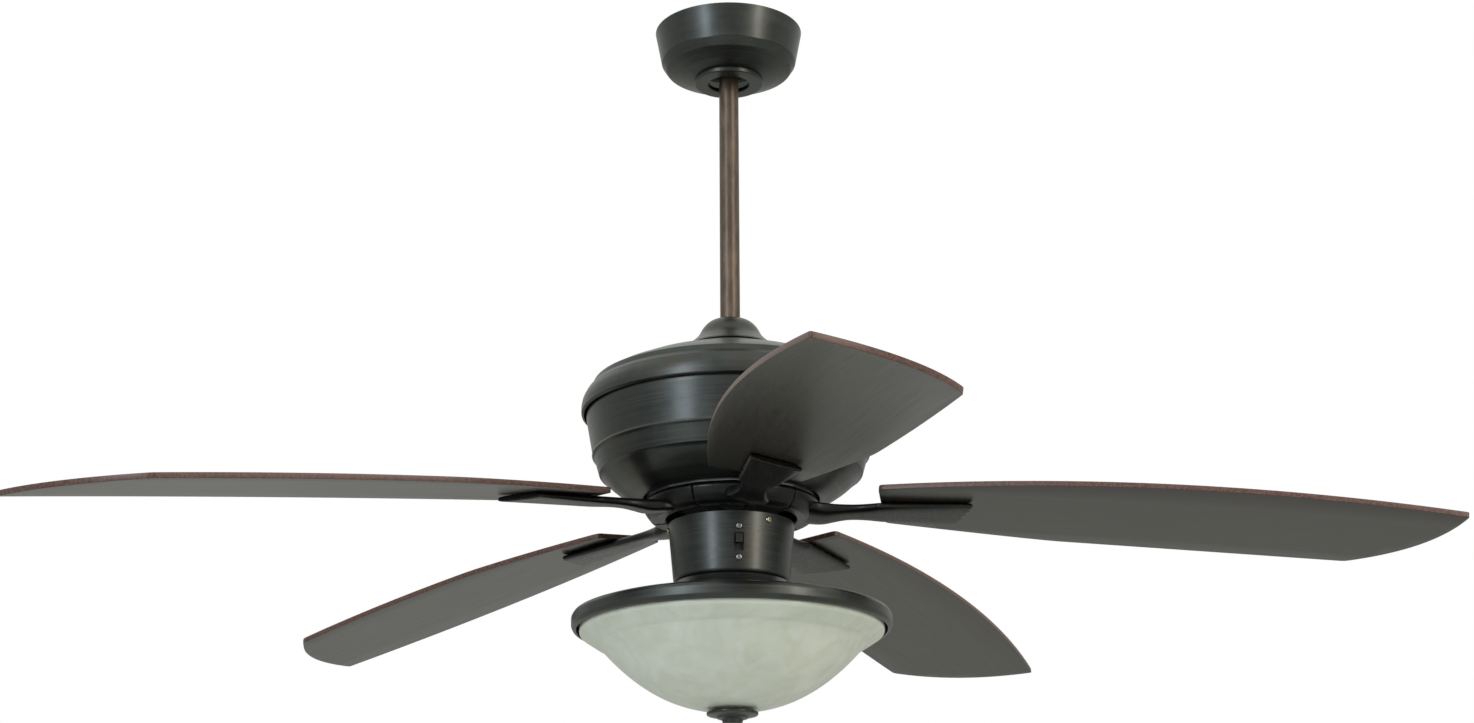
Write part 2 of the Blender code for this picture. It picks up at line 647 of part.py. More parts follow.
def blade_point(u, v):
    """A point of the blade's outline grid: u from root to tip, v from trailing to leading edge."""
    lead_r = BLADE_ROOT + (tip_reach() - BLADE_ROOT) * u
    trail_r = BLADE_ROOT + (trail_end() - BLADE_ROOT) * u
    lead = lead_r, lead_edge(lead_r)
    trail = trail_r, trail_edge(trail_r)
    r = trail[0] + (lead[0] - trail[0]) * v
    s = trail[1] + (lead[1] - trail[1]) * v
    run = hypot(lead[0] - trail[0], lead[1] - trail[1])
    bulge = TIP_BULGE * 4 * v * (1 - v) * u ** 4
    return r + bulge * (lead[1] - trail[1]) / run, s - bulge * (lead[0] - trail[0]) / run


def slab(grid, low, high):
    """A closed sheet over a grid of (r, s) points, between two heights that depend on r and s."""
    data = bmesh.new()
    floors = [[data.verts.new((r, s, low(r, s))) for r, s in row] for row in grid]
    roofs = [[data.verts.new((r, s, high(r, s))) for r, s in row] for row in grid]
    rows, columns = len(grid), len(grid[0])
    for i in range(rows - 1):
        for j in range(columns - 1):
            for sheet in (floors, roofs):
                data.faces.new((sheet[i][j], sheet[i][j + 1], sheet[i + 1][j + 1], sheet[i + 1][j]))
    rim = [(i, 0) for i in range(rows)] + [(rows - 1, j) for j in range(1, columns)]
    rim += [(i, columns - 1) for i in range(rows - 2, -1, -1)] + [(0, j) for j in range(columns - 2, 0, -1)]
    for (a, b), (c, d) in zip(rim, rim[1:] + rim[:1]):
        data.faces.new((floors[a][b], floors[c][d], roofs[c][d], roofs[a][b]))
    return data


def make_blades(kit):
    steps, across = 12, 4
    grid = [[blade_point(i / steps, j / across) for j in range(across + 1)] for i in range(steps + 1)]
    blades = []
    for number in range(1, BLADES + 1):
        data = slab(grid, underside, lambda r, s: underside(r, s) + BLADE_THICKNESS)
        moved(data, blade_frame(number))
        blades.append(new_object(f"blade_{number}", data, kit["blade"]))
    return blades


def iron_sections():
    """The iron's arm and plate as stations: leading point, trailing point, height of its top, depth.

    The arm leaves the middle of the base, dips below the housing and widens into the plate. The
    plate's top follows the blade. Its end slants as the blade's tip does, with round corners.
    """
    arm = IRON_INNER + 7.0
    root = BLADE_ROOT
    end = PLATE_END
    stations = [
        # reach, lead and trail half widths, top below the plane (None follows the blade), depth
        (arm, 21.0, 21.0, 9.8, 11.0),
        (arm + 12.0, 20.0, 20.0, 9.8, 12.0),
        (arm + 20.0, 17.0, 17.0, 10.6, 12.0),
        (arm + 29.0, 14.2, 14.2, 13.6, 10.6),
        (arm + 40.0, 12.8, 12.8, 17.2, 8.8),
        (root - 20.0, 13.8, 13.6, 19.4, 8.0),
        (root - 6.0, 18.0, 16.0, None, 8.0),
        (root + 5.0, 22.5, 19.0, None, 8.0),
        (root + 19.0, 26.0, 22.5, None, 8.0),
        (end - 48.0, 29.5, 25.5, None, 8.0),
        (end - 30.0, 31.0, 27.5, None, 8.0),
        (end - 16.0, 31.0, 28.0, None, 8.0),
        (end - 6.0, 29.5, 27.0, None, 7.4),
        (end, 26.0, 24.0, None, 6.0),
    ]
    sections = []
    for reach, lead, trail, fall, depth in stations:
        share = (reach - arm) / (end - arm)
        slant = PLATE_SLANT * max(0.0, (share - 0.5) * 2) ** 1.5
        sections.append(((reach, lead), (reach - slant, -trail), fall, depth))
    return sections


def iron_ring(section, corners=12):
    """One cross-section of the arm: a flat top with round edges and a fuller underside."""
    (lead_r, lead_s), (trail_r, trail_s), fall, depth = section
    points = []
    for i in range(corners):
        turn = 2 * pi * (i + 0.5) / corners
        a = abs(cos(turn)) ** 0.55 * (1 if cos(turn) > 0 else -1)
        b = abs(sin(turn)) ** 0.55 * (1 if sin(turn) > 0 else -1)
        share = (a + 1) / 2
        r = trail_r + (lead_r - trail_r) * share
        s = trail_s + (lead_s - trail_s) * share
        under_blade = underside(r, s) - GAP
        twist = min(1.0, (r - IRON_INNER - 7.0) / 40.0)
        top = under_blade if fall is None else PLANE_Z - fall + BLADE_PITCH * s * twist
        points.append((r, s, min(top, under_blade) - depth * (1 - b) / 2))
    return points


def make_irons(kit):
    """Each iron is a fifth of the ring under the rotor, with its arm and plate joined on."""
    half = pi / BLADES - IRON_SPLIT / 2 / IRON_OUTER
    top, foot = IRON_Z, IRON_Z - IRON_HEIGHT
    profile = [(IRON_INNER, top), (IRON_OUTER - 2.5, top), (IRON_OUTER, top - 4.0),
               (IRON_OUTER - 2.0, top - 10.5), (IRON_OUTER - 7.0, foot + 1.8),
               (IRON_OUTER - 11.0, foot), (IRON_INNER + 1.0, foot + 0.6), (IRON_INNER, foot + 2.0)]
    steps = 9
    irons = []
    for number in range(1, BLADES + 1):
        sections = []
        for i in range(steps + 1):
            turn = -half + 2 * half * i / steps
            sections.append([(r * cos(turn), r * sin(turn), z) for r, z in profile])
        base = moved(loft(sections), blade_frame(number))
        iron = new_object(f"blade_iron_{number}", base, kit["bronze"])
        arm = moved(loft([iron_ring(section) for section in iron_sections()]), blade_frame(number))
        bmesh.ops.recalc_face_normals(arm, faces=arm.faces)
        irons.append(combine(iron, "UNION", arm))
    return irons


# ---------------------------------------------------------------- switch housing

def switch_wall(z):
    """The housing's outer radius at a height."""
    return SWITCH_RADIUS - SWITCH_TAPER * (SWITCH_TOP_Z - z) / SWITCH_HEIGHT


def wall_frame(turn_degrees, z):
    """A frame on the housing's wall: +X outwards from the wall, +Z up along it."""
    turn = radians(turn_degrees - 90.0)
    lean = atan2(SWITCH_TAPER, SWITCH_HEIGHT)
    radius = switch_wall(z)
    return (Matrix.Translation((radius * cos(turn), radius * sin(turn), z))
            @ Matrix.Rotation(turn, 4, "Z") @ Matrix.Rotation(lean, 4, "Y"))


def make_switch_plate(kit):
    """The cup that the shaft's nut clamps and the housing screws onto."""
    top = SWITCH_TOP_Z - 2.0
    foot = top - 13.0
    radius = switch_wall(foot) - SWITCH_WALL - 2 * GAP
    outline = [(SHAFT_RADIUS + GAP, top), (radius, top), (radius, foot)]
    plate = new_object("switch_plate", turned(shell(outline, SWITCH_WALL), BIG), kit["steel"])
    holes = [moved(bar(HOUSING_SCREW_RADIUS + GAP, 20.0, SMALL, (-15.0, 0, 0), (1, 0, 0)),
                   wall_frame(turn, housing_screw_z())) for turn in HOUSING_SCREW_TURNS]
    ear = SWITCH_SCREW_SPACING / 2 + SWITCH_EAR + 1.0
    notch = moved(block((-9, -7, 0), (1, 7, ear)), wall_frame(SWITCH_TURN, switch_z()))
    combine(plate, "DIFFERENCE", *holes, notch)
    nut_top = top - SWITCH_WALL - GAP
    nut = hex_nut(SHAFT_RADIUS + GAP, SHAFT_RADIUS + 5.0, nut_top - 6.0, nut_top)
    return [plate, new_object("shaft_nut", nut, kit["steel"])]


def housing_screw_z():
    return SWITCH_TOP_Z - 6.0


def make_switch_housing(kit):
    foot = SWITCH_FOOT_Z
    outline = [(SWITCH_RADIUS, SWITCH_TOP_Z), (switch_wall(foot + 4.0), foot + 4.0),
               (switch_wall(foot) - 1.2, foot + 1.2), (switch_wall(foot) - 4.0, foot),
               (CENTRE_ROD_RADIUS + GAP, foot)]
    housing = new_object("switch_housing", turned(shell(outline, SWITCH_WALL), BIG), kit["bronze"])
    cuts = [moved(bar(HOUSING_SCREW_RADIUS + GAP, 20.0, SMALL, (-10.0, 0, 0), (1, 0, 0)),
                  wall_frame(turn, housing_screw_z())) for turn in HOUSING_SCREW_TURNS]
    frame = wall_frame(SWITCH_TURN, switch_z())
    width, height = SWITCH_WINDOW
    cuts.append(moved(block((-6, -width / 2, -height / 2), (6, width / 2, height / 2)), frame))
    for side in (-1, 1):
        cuts.append(moved(bar(SWITCH_SCREW_RADIUS + GAP, 12.0, SMALL,
                              (-6.0, 0, side * SWITCH_SCREW_SPACING / 2), (1, 0, 0)), frame))
    cuts.append(bar(WIRE_HOLE_RADIUS, 8.0, SMALL, (0, LEAD_HOLE_Y, foot - 4.0)))
    return [combine(housing, "DIFFERENCE", *cuts)]


def switch_z():
    return SWITCH_TOP_Z - SWITCH_HEIGHT / 2 - 0.6


def make_housing_screws(kit):
    screws = []
    for number, turn in enumerate(HOUSING_SCREW_TURNS, 1):
        place = (wall_frame(turn, housing_screw_z()) @ Matrix.Translation((GAP, 0, 0))
                 @ Matrix.Rotation(pi / 2, 4, "Y"))
        screws.append(screw(f"housing_screw_{number}", 8.0, HOUSING_SCREW_RADIUS, 3.0, 1.4, place,
                            kit["brass"]))
    return screws


def make_reverse_switch(kit):
    """A slide switch behind the housing's wall, held by two screws through its mounting ears."""
    frame = wall_frame(SWITCH_TURN, switch_z())
    back = -SWITCH_WALL - SWITCH_BACK
    ear = SWITCH_SCREW_SPACING / 2 + SWITCH_EAR
    body = new_object("reverse_switch_body", moved(block((back - 9.0, -6.0, -11.0), (back, 6.0, 11.0)), frame),
                      kit["black"])
    ears = moved(block((back - 1.3, -5.5, -ear), (back - 0.3, 5.5, ear)), frame)
    combine(body, "UNION", ears)
    width, height = SLIDER_SIZE
    track = moved(block((back - 3.0, -width / 2 - GAP, -height / 2 - SLIDER_TRAVEL / 2 - GAP),
                        (back + 2.0, width / 2 + GAP, height / 2 + SLIDER_TRAVEL / 2 + GAP)), frame)
    holes = [moved(bar(SWITCH_SCREW_RADIUS + GAP, 12.0, SMALL,
                       (back - 6.0, 0, side * SWITCH_SCREW_SPACING / 2), (1, 0, 0)), frame)
             for side in (-1, 1)]
    combine(body, "DIFFERENCE", track, *holes)
    screws = []
    for number, side in enumerate((1, -1), 1):
        place = (frame @ Matrix.Translation((GAP, 0, side * SWITCH_SCREW_SPACING / 2))
                 @ Matrix.Rotation(pi / 2, 4, "Y"))
        screws.append(screw(f"switch_screw_{number}", 8.0, SWITCH_SCREW_RADIUS, 2.8, 1.2, place,
                            kit["steel"]))
    return [body, *screws]


def make_slider(kit):
    """The switch's knob, at the top of its travel."""
    frame = wall_frame(SWITCH_TURN, switch_z())
    back = -SWITCH_WALL - SWITCH_BACK
    width, height = SLIDER_SIZE
    lift = SLIDER_TRAVEL / 2
    knob = block((back - 2.5, -width / 2, lift - height / 2), (2.6, width / 2, lift + height / 2), 0.5)
    return [new_object("reverse_switch_slider", moved(knob, frame), kit["black"])]


def make_capacitor(kit):
    """The run capacitor, standing against the back of the housing's wall."""
    half, deep, tall = 19.0, 20.0, 24.0
    top = SWITCH_TOP_Z - 24.0
    room = (switch_wall(top - tall) - SWITCH_WALL - 1.5) * cos(pi / BIG)
    back = sqrt(room ** 2 - half ** 2)
    box = block((-half, back - deep, top - tall), (half, back, top), 1.5)
    return [new_object("capacitor", box, kit["black"])]


def make_lead_wires(kit):
    """The sleeved leads, down the rod, past the clevis pin and through the hollow shaft."""
    beside = PIN_RADIUS + WIRE_RADIUS + 0.5
    inside_shaft = SHAFT_BORE_RADIUS - WIRE_RADIUS - 0.8
    route = [(beside, ROD_TOP_Z + 3.0), (beside, CLEVIS_Z - PIN_RADIUS - 2.0),
             (inside_shaft, SHAFT_TOP_Z + 0.5), (inside_shaft, SHAFT_FOOT_Z + 2.0),
             (inside_shaft - 1.0, SHAFT_FOOT_Z - 6.0)]
    sections = []
    for (x0, z0), (x1, z1) in zip(route, route[1:] + [route[-1]]):
        for i in range(3):
            t = i / 3
            ease = t * t * (3 - 2 * t)
            sections.append((x0 + (x1 - x0) * ease, z0 + (z1 - z0) * t))
            if (x1, z1) == (x0, z0):
                break
    rings = []
    for x, z in sections:
        rings.append([(x + WIRE_RADIUS * cos(2 * pi * j / SMALL), WIRE_RADIUS * sin(2 * pi * j / SMALL), z)
                      for j in range(SMALL)])
    return [new_object("lead_wires", loft(rings), kit["wire"])]


# ---------------------------------------------------------------- light

def make_pan(kit):
    """The light's pan: a short neck, a shallow cone and a rolled rim."""
    top, foot, p = PAN_TOP_Z, PAN_FOOT_Z, PAN_RADIUS
    neck = PAN_NECK_RADIUS
    outline = [(CENTRE_ROD_RADIUS + GAP, top), (neck - 4.0, top), (neck, top - 2.0),
               (neck + 4.0, top - 6.5), (neck + 13.0, top - 10.5), (p - 9.0, foot + PAN_RIM + 4.0),
               (p - 2.0, foot + PAN_RIM + 1.6), (p, foot + PAN_RIM - 1.8), (p, foot + 4.0),
               (p - 1.6, foot + 1.0), (p - 4.5, foot)]
    pan = new_object("fitter_pan", turned(shell(outline, PAN_WALL), BIG), kit["bronze"])
    return [combine(pan, "DIFFERENCE", bar(WIRE_HOLE_RADIUS, 8.0, SMALL, (0, LEAD_HOLE_Y, top - 5.0)))]


def make_centre_rod(kit):
    """The threaded rod that clamps the lamp bracket and carries the finial, and its two nuts."""
    top, foot = PAN_TOP_Z + 9.0, BOWL_LOW_Z - WASHER - FINIAL_BORE + 1.0
    rod = new_object("centre_rod", bar(CENTRE_ROD_RADIUS, top - foot, MIDDLE, (0, 0, foot)), kit["steel"])
    plate_foot = PAN_TOP_Z - PAN_WALL - GAP - STRAP
    nuts = []
    for name, low in (("rod_nut_upper", SWITCH_FOOT_Z + SWITCH_WALL + GAP), ("rod_nut_lower", plate_foot - GAP - 4.0)):
        nut = hex_nut(CENTRE_ROD_RADIUS + GAP, CENTRE_ROD_RADIUS + 3.6, low, low + 4.0)
        nuts.append(new_object(name, nut, kit["steel"]))
    return [rod, *nuts]


def make_socket_bracket(kit):
    top = PAN_TOP_Z - PAN_WALL - GAP
    width = SOCKET_RADIUS - 3.0
    reach = SOCKET_BACK
    bracket = new_object("socket_bracket", block((-reach, -width, top - STRAP), (reach, width, top)),
                         kit["steel"])
    tabs = [block((min(side * reach, side * (reach - STRAP)), -width, SOCKET_Z - width),
                  (max(side * reach, side * (reach - STRAP)), width, top - 0.4)) for side in (-1, 1)]
    combine(bracket, "UNION", *tabs)
    hole = bar(CENTRE_ROD_RADIUS + GAP, 10.0, MIDDLE, (0, 0, top - 6.0))
    return [combine(bracket, "DIFFERENCE", hole)]


def make_lamps(kit):
    """Two porcelain sockets back to back, each with its lamp screwed in."""
    pieces = []
    bore = LAMP_BASE_RADIUS + GAP
    floor = SOCKET_LENGTH - 24.0
    socket = [(0, 0), (SOCKET_RADIUS - 2.0, 0), (SOCKET_RADIUS, 4.0), (SOCKET_RADIUS, SOCKET_LENGTH - 1.0),
              (SOCKET_RADIUS - 1.0, SOCKET_LENGTH), (bore, SOCKET_LENGTH), (bore, floor), (0, floor)]
    start = floor + 1.0
    centre = start + LAMP_LENGTH - LAMP_RADIUS
    lamp = [(0, start), (5.0, start), (LAMP_BASE_RADIUS, start + 4.0), (LAMP_BASE_RADIUS, SOCKET_LENGTH + 1.0),
            (LAMP_BASE_RADIUS + 2.5, SOCKET_LENGTH + 6.0)]
    lamp += [(r, z) for r, z in arc((0, centre), LAMP_RADIUS, -35.0, 70.0, 5)]
    lamp.append((0, centre + LAMP_RADIUS))
    for number, side in enumerate((-1, 1), 1):
        place = (Matrix.Translation((side * (SOCKET_BACK + GAP), 0, SOCKET_Z))
                 @ Matrix.Rotation(side * pi / 2, 4, "Y"))
        pieces.append(new_object(f"lamp_socket_{number}", moved(turned(socket, MIDDLE, closed=False), place),
                                 kit["porcelain"]))
        pieces.append(new_object(f"lamp_{number}", moved(turned(lamp, MIDDLE, closed=False), place),
                                 kit["lamp"]))
    return pieces


def bowl_outline():
    """The glass: a rim inside the pan, a sloped flange, a soft step and a bowl with a fuller foot."""
    foot = PAN_FOOT_Z
    outline = [(BOWL_RADIUS, foot + PAN_RIM + 1.6), (BOWL_RADIUS, foot - 1.0)]
    outline += [(BOWL_RADIUS - 2.6, foot - 5.0), (BOWL_RADIUS - 7.5, foot - 8.6),
                (SHOULDER_RADIUS + 1.0, SHOULDER_Z + 0.6), (SHOULDER_RADIUS - 2.5, SHOULDER_Z - 2.2)]
    hole = CENTRE_ROD_RADIUS + 2 * GAP
    steps = 6
    start = SHOULDER_RADIUS - 4.0
    for i in range(steps + 1):
        r = hole + (start - hole) * cos(pi / 2 * i / steps)
        outline.append((r, BOWL_LOW_Z + BOWL_DEPTH * (r / (SHOULDER_RADIUS - 2.7)) ** BOWL_POWER))
    return outline


def make_bowl(kit):
    return [new_object("glass_bowl", turned(shell(bowl_outline(), BOWL_WALL), BIG), kit["glass"])]


def make_finial(kit):
    """The turned cap nut under the bowl, and the washer between them."""
    washer_top = BOWL_LOW_Z - GAP
    washer = turned(ring(CENTRE_ROD_RADIUS + GAP, 15.0, washer_top - WASHER + GAP, washer_top), MIDDLE)
    top = washer_top - WASHER
    f = FINIAL_RADIUS
    foot = top - FINIAL_HEIGHT
    bore = CENTRE_ROD_RADIUS + GAP
    outline = [(0, top - FINIAL_BORE), (bore, top - FINIAL_BORE), (bore, top), (f - 1.5, top),
               (f, top - 1.2), (f - 0.6, top - 2.6), (f - 8.5, top - 4.2), (f - 10.0, top - 5.8),
               (f - 13.5, top - 6.6), (f - 14.5, top - 7.8), (f - 14.8, foot + 2.2),
               (f - 16.5, foot + 0.5), (f - 20.0, foot), (0, foot)]
    return [new_object("glass_washer", washer, kit["rubber"]),
            new_object("finial", turned(outline, MIDDLE, closed=False), kit["bronze"])]


# ---------------------------------------------------------------- assembly

def pivot(name, place, parent=None):
    empty = bpy.data.objects.new(name, None)
    empty.empty_display_size = 0.05
    bpy.context.collection.objects.link(empty)
    empty.location = Vector(place) * MM
    if parent:
        empty.parent = parent
        empty.location -= parent.matrix_world.translation
    bpy.context.view_layer.update()
    return empty


def hang(pieces, empty):
    """Gives each piece the pivot's origin and makes it ride on the pivot."""
    for piece in pieces:
        piece.data.transform(Matrix.Translation(-empty.matrix_world.translation))
        piece.parent = empty


def main():
    for thing in list(bpy.data.objects):
        bpy.data.objects.remove(thing, do_unlink=True)
    kit = make_finishes()
    make_bracket(kit)
    make_canopy(kit)
    make_screw_cover(kit)
    make_canopy_screws(kit)

    tilt = pivot("hanger_tilt_pivot", (0, 0, BALL_Z))
    hung = []
    for make in (make_ball, make_downrod, make_pins, make_yoke, make_set_screws, make_coupling_cover,
                 make_upper_housing, make_lower_housing, make_shaft, make_stator, make_switch_plate,
                 make_switch_housing, make_housing_screws, make_reverse_switch, make_capacitor,
                 make_lead_wires, make_pan, make_centre_rod, make_socket_bracket, make_lamps):
        hung += make(kit)
    hang(hung, tilt)

    spin = pivot("blade_spin_pivot", (0, 0, PLANE_Z), tilt)
    hang(make_rotor(kit) + make_irons(kit) + make_blades(kit), spin)

    knob_place = wall_frame(SWITCH_TURN, switch_z()).translation
    hang(make_slider(kit), pivot("reverse_switch_pivot", knob_place, tilt))

    drop = pivot("bowl_drop_pivot", (0, 0, BOWL_LOW_Z), tilt)
    hang(make_bowl(kit), drop)
    hang(make_finial(kit), pivot("finial_turn_pivot", (0, 0, BOWL_LOW_Z - WASHER), drop))
    bpy.context.view_layer.update()


main()
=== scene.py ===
"""Ceiling fan with a light bowl: the visible pieces, their finishes and the studio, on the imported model.

The scene stands in metres with +Z up, and the origin is on the ceiling on the fan's axis. Sizes are
written in millimetres, and turned into metres where a mesh is made. Blade 1 points towards the viewer
at -Y, turned BLADE_START degrees to +X.
"""
from math import atan2, cos, hypot, pi, radians, sin, sqrt, tan

import bpy
from mathutils import Matrix, Vector


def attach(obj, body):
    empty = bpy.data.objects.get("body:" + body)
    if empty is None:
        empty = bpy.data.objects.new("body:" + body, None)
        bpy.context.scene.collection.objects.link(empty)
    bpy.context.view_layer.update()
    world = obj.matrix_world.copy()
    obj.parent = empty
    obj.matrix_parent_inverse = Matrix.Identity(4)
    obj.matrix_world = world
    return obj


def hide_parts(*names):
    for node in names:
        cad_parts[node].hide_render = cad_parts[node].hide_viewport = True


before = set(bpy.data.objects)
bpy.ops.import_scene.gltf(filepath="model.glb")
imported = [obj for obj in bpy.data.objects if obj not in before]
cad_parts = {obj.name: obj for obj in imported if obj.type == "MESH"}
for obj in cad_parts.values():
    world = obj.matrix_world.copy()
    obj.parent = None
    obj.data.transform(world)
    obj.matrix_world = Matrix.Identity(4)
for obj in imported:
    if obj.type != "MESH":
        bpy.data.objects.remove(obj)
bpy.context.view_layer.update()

MM = 0.001

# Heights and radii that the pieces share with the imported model
BALL_Z = -26.0
BALL_RADIUS = 24.0
CANOPY_RADIUS = 72.3
CANOPY_FOOT_Z = -50.5
ROD_TOP_Z = -18.0
ROD_FOOT_Z = -323.0
ROD_RADIUS = 9.525
CROWN_Z = -333.2
LIP_Z = -397.8
BOWL_FOOT_Z = -479.9
PLANE_Z = -471.9
IRON_Z = -480.9
SWITCH_TOP_Z = -503.8
SWITCH_FOOT_Z = -559.3
PAN_TOP_Z = -559.6
PAN_FOOT_Z = -603.6
SHOULDER_Z = -616.0
BOWL_LOW_Z = -676.8
MOTOR_RADIUS = 141.2
MOTOR_OPENING_RADIUS = 82.4
COVER_RADIUS = 44.8
COVER_HEIGHT = 31.0
PAN_RADIUS = 148.0
BOWL_RADIUS = 140.5
FINIAL_RADIUS = 24.0
SWITCH_RADIUS = 59.0
SWITCH_TAPER = 5.0
SWITCH_HEIGHT = 55.5
SWITCH_TURN = 7.0
SWITCH_WINDOW = (9.0, 17.0)
SWITCH_SCREW_SPACING = 28.8
HOUSING_SCREW_TURNS = (35.5, 155.5, 275.5)
CENTRE_ROD_RADIUS = 4.8
SPUN_WALL = 1.2        # sheet of the canopy, switch housing and pan
HOUSING_WALL = 1.5     # sheet of the motor housings
GLASS_WALL = 3.4
GAP = 0.3

# The blade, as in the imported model: r runs out along it and s across it
BLADES = 5
BLADE_START = 10.6
TIP_RADIUS = 660.4
BLADE_ROOT = 141.0
BLADE_THICKNESS = 4.8
BLADE_PITCH = 0.128
BLADE_DROOP = 0.1097
BLADE_SAG = 6.26e-5
LEAD_TIP = 69.0
TRAIL_TIP = 64.6
TRAIL_SETBACK = 93.5
TIP_BULGE = 16.1
ROOT_TAPER = 18.0
TAPER_REACH = 300.0
TIP_REACH = sqrt(TIP_RADIUS ** 2 - LEAD_TIP ** 2)
TRAIL_END = TIP_REACH - TRAIL_SETBACK
IRON_INNER = 61.0
IRON_OUTER = 82.5
IRON_HEIGHT = 18.8
IRON_SPLIT = 0.8
PLATE_END = 226.0
PLATE_SLANT = 20.0

STEPS = 192            # faces round a large turned piece
FEW = 64               # faces round a small one
MERGE = 0.002          # points closer than this are one

# The camera, in metres and degrees, and the studio in metres
LENS = 59.6
CAMERA_BACK = 2.2134
CAMERA_DROP = 0.5852   # below the rotor plane
CAMERA_HEADING = -0.163
CAMERA_PITCH = 107.89  # 90 looks level
CAMERA_ROLL = -0.39
FLOOR_Z = -2.44
FLOOR_SIZE = 16.0
PANEL_DISTANCE = 3.2
PANEL_LOW = -1.0
PANEL_HIGH = 1.6


# ---------------------------------------------------------------- camera, floor and light

def set_camera():
    """Below the fan and looking up, a little off level."""
    lens = bpy.data.cameras.new("camera")
    lens.lens = LENS
    lens.sensor_width = 36.0
    camera = bpy.data.objects.new("camera", lens)
    bpy.context.scene.collection.objects.link(camera)
    place_at = Matrix.Translation((0.0, -CAMERA_BACK, PLANE_Z * MM - CAMERA_DROP))
    heading = Matrix.Rotation(radians(CAMERA_HEADING), 4, "Z")
    pitch = Matrix.Rotation(radians(CAMERA_PITCH), 4, "X")
    roll = Matrix.Rotation(radians(CAMERA_ROLL), 4, "Z")
    camera.matrix_world = place_at @ (heading @ pitch) @ roll
    bpy.context.scene.camera = camera
    bpy.context.scene.view_settings.view_transform = "Standard"


def soft_box(name, turn, width, power, colour):
    """A tall lit panel that faces the fan, turned from the camera's side towards +X."""
    light = bpy.data.lights.new(name, "AREA")
    light.shape = "RECTANGLE"
    light.size = width
    light.size_y = PANEL_HIGH - PANEL_LOW
    light.energy = power
    light.color = linear(colour)[:3]
    panel = bpy.data.objects.new(name, light)
    bpy.context.scene.collection.objects.link(panel)
    angle = radians(turn)
    middle = (PANEL_LOW + PANEL_HIGH) / 2
    stand = Vector((PANEL_DISTANCE * sin(angle), -PANEL_DISTANCE * cos(angle), middle))
    facing = (Vector((0, 0, PLANE_Z * MM)) - stand).to_track_quat("-Z", "Y")
    panel.matrix_world = Matrix.Translation(stand) @ facing.to_matrix().to_4x4()


def set_studio():
    """A pale floor, a white surround that is brighter overhead, and two tall panels: a cool one on the
    left and a warm one on the right."""
    bpy.ops.object.select_all(action="DESELECT")
    bpy.ops.mesh.primitive_plane_add(size=FLOOR_SIZE, location=(0, 0, FLOOR_Z))
    floor = bpy.context.object
    floor.name = "floor"
    floor.data.materials.append(painted_floor())

    world = bpy.data.worlds.new("studio")
    bpy.context.scene.world = world
    world.use_nodes = True
    tree = world.node_tree
    tree.nodes.clear()
    ray = add(tree, "ShaderNodeLightPath")
    white = add(tree, "ShaderNodeBackground", {"Strength": 1.0, "Color": (1, 1, 1, 1)})
    direction = add(tree, "ShaderNodeTexCoord")
    split = add(tree, "ShaderNodeSeparateXYZ", {}, {0: direction.outputs["Generated"]})
    strength = add(tree, "ShaderNodeMapRange", {1: 0.1, 2: 0.8, 3: 0.48, 4: 1.05}, {0: split.outputs["Z"]})
    soft = add(tree, "ShaderNodeBackground", {"Color": linear("#f6f8f2")}, {"Strength": strength.outputs[0]})
    both = add(tree, "ShaderNodeMixShader", {},
               {0: ray.outputs["Is Camera Ray"], 1: soft.outputs[0], 2: white.outputs[0]})
    add(tree, "ShaderNodeOutputWorld", {}, {"Surface": both.outputs[0]})
    soft_box("cool_panel", -36.0, 0.68, 43.0, "#e6f2ff")
    soft_box("warm_panel", 47.0, 0.60, 42.0, "#fff6ea")


# ---------------------------------------------------------------- materials

def linear(code):
    """An sRGB hex colour as linear red, green, blue and a full alpha."""
    parts = [int(code[i:i + 2], 16) / 255 for i in (1, 3, 5)]
    return (*[c / 12.92 if c <= 0.04045 else ((c + 0.055) / 1.055) ** 2.4 for c in parts], 1.0)


def add(tree, kind, settings=None, links=None):
    """Adds a node with its settings, by attribute or by input, and its links."""
    made = tree.nodes.new(kind)
    for key, value in (settings or {}).items():
        if isinstance(key, str) and hasattr(made, key):
            setattr(made, key, value)
        else:
            made.inputs[key].default_value = value
    for key, source in (links or {}).items():
        tree.links.new(source, made.inputs[key])
    return made


def finish(name, colour, **sockets):
    """A Principled material with the uniform values on its own sockets."""
    material = bpy.data.materials.new(name)
    material.use_nodes = True
    shader = material.node_tree.nodes["Principled BSDF"]
    shader.inputs["Base Color"].default_value = linear(colour)
    for socket, value in sockets.items():
        shader.inputs[socket.replace("_", " ")].default_value = value
    return material, material.node_tree, shader


def ramp(tree, source, *stops):
    """Colours at places along a pattern, from (place, colour) pairs."""
    made = add(tree, "ShaderNodeValToRGB", {}, {"Fac": source})
    points = made.color_ramp.elements
    while len(points) < len(stops):
        points.new(0.5)
    for point, (place, code) in zip(points, stops):
        point.position = place
        point.color = linear(code)
    return made.outputs["Color"]


def painted_floor():
    """Matt wall paint: an even pale grey-white with the faintest mottling."""
    material, tree, shader = finish("matt_paint_floor", "#bebebb", Roughness=0.8)
    place = add(tree, "ShaderNodeTexCoord")
    cloud = add(tree, "ShaderNodeTexNoise", {"Scale": 3.0}, {"Vector": place.outputs["Object"]})
    tree.links.new(ramp(tree, cloud.outputs["Fac"], (0.3, "#bcbdb9"), (0.7, "#c2c2bf")),
                   shader.inputs["Base Color"])
    return material


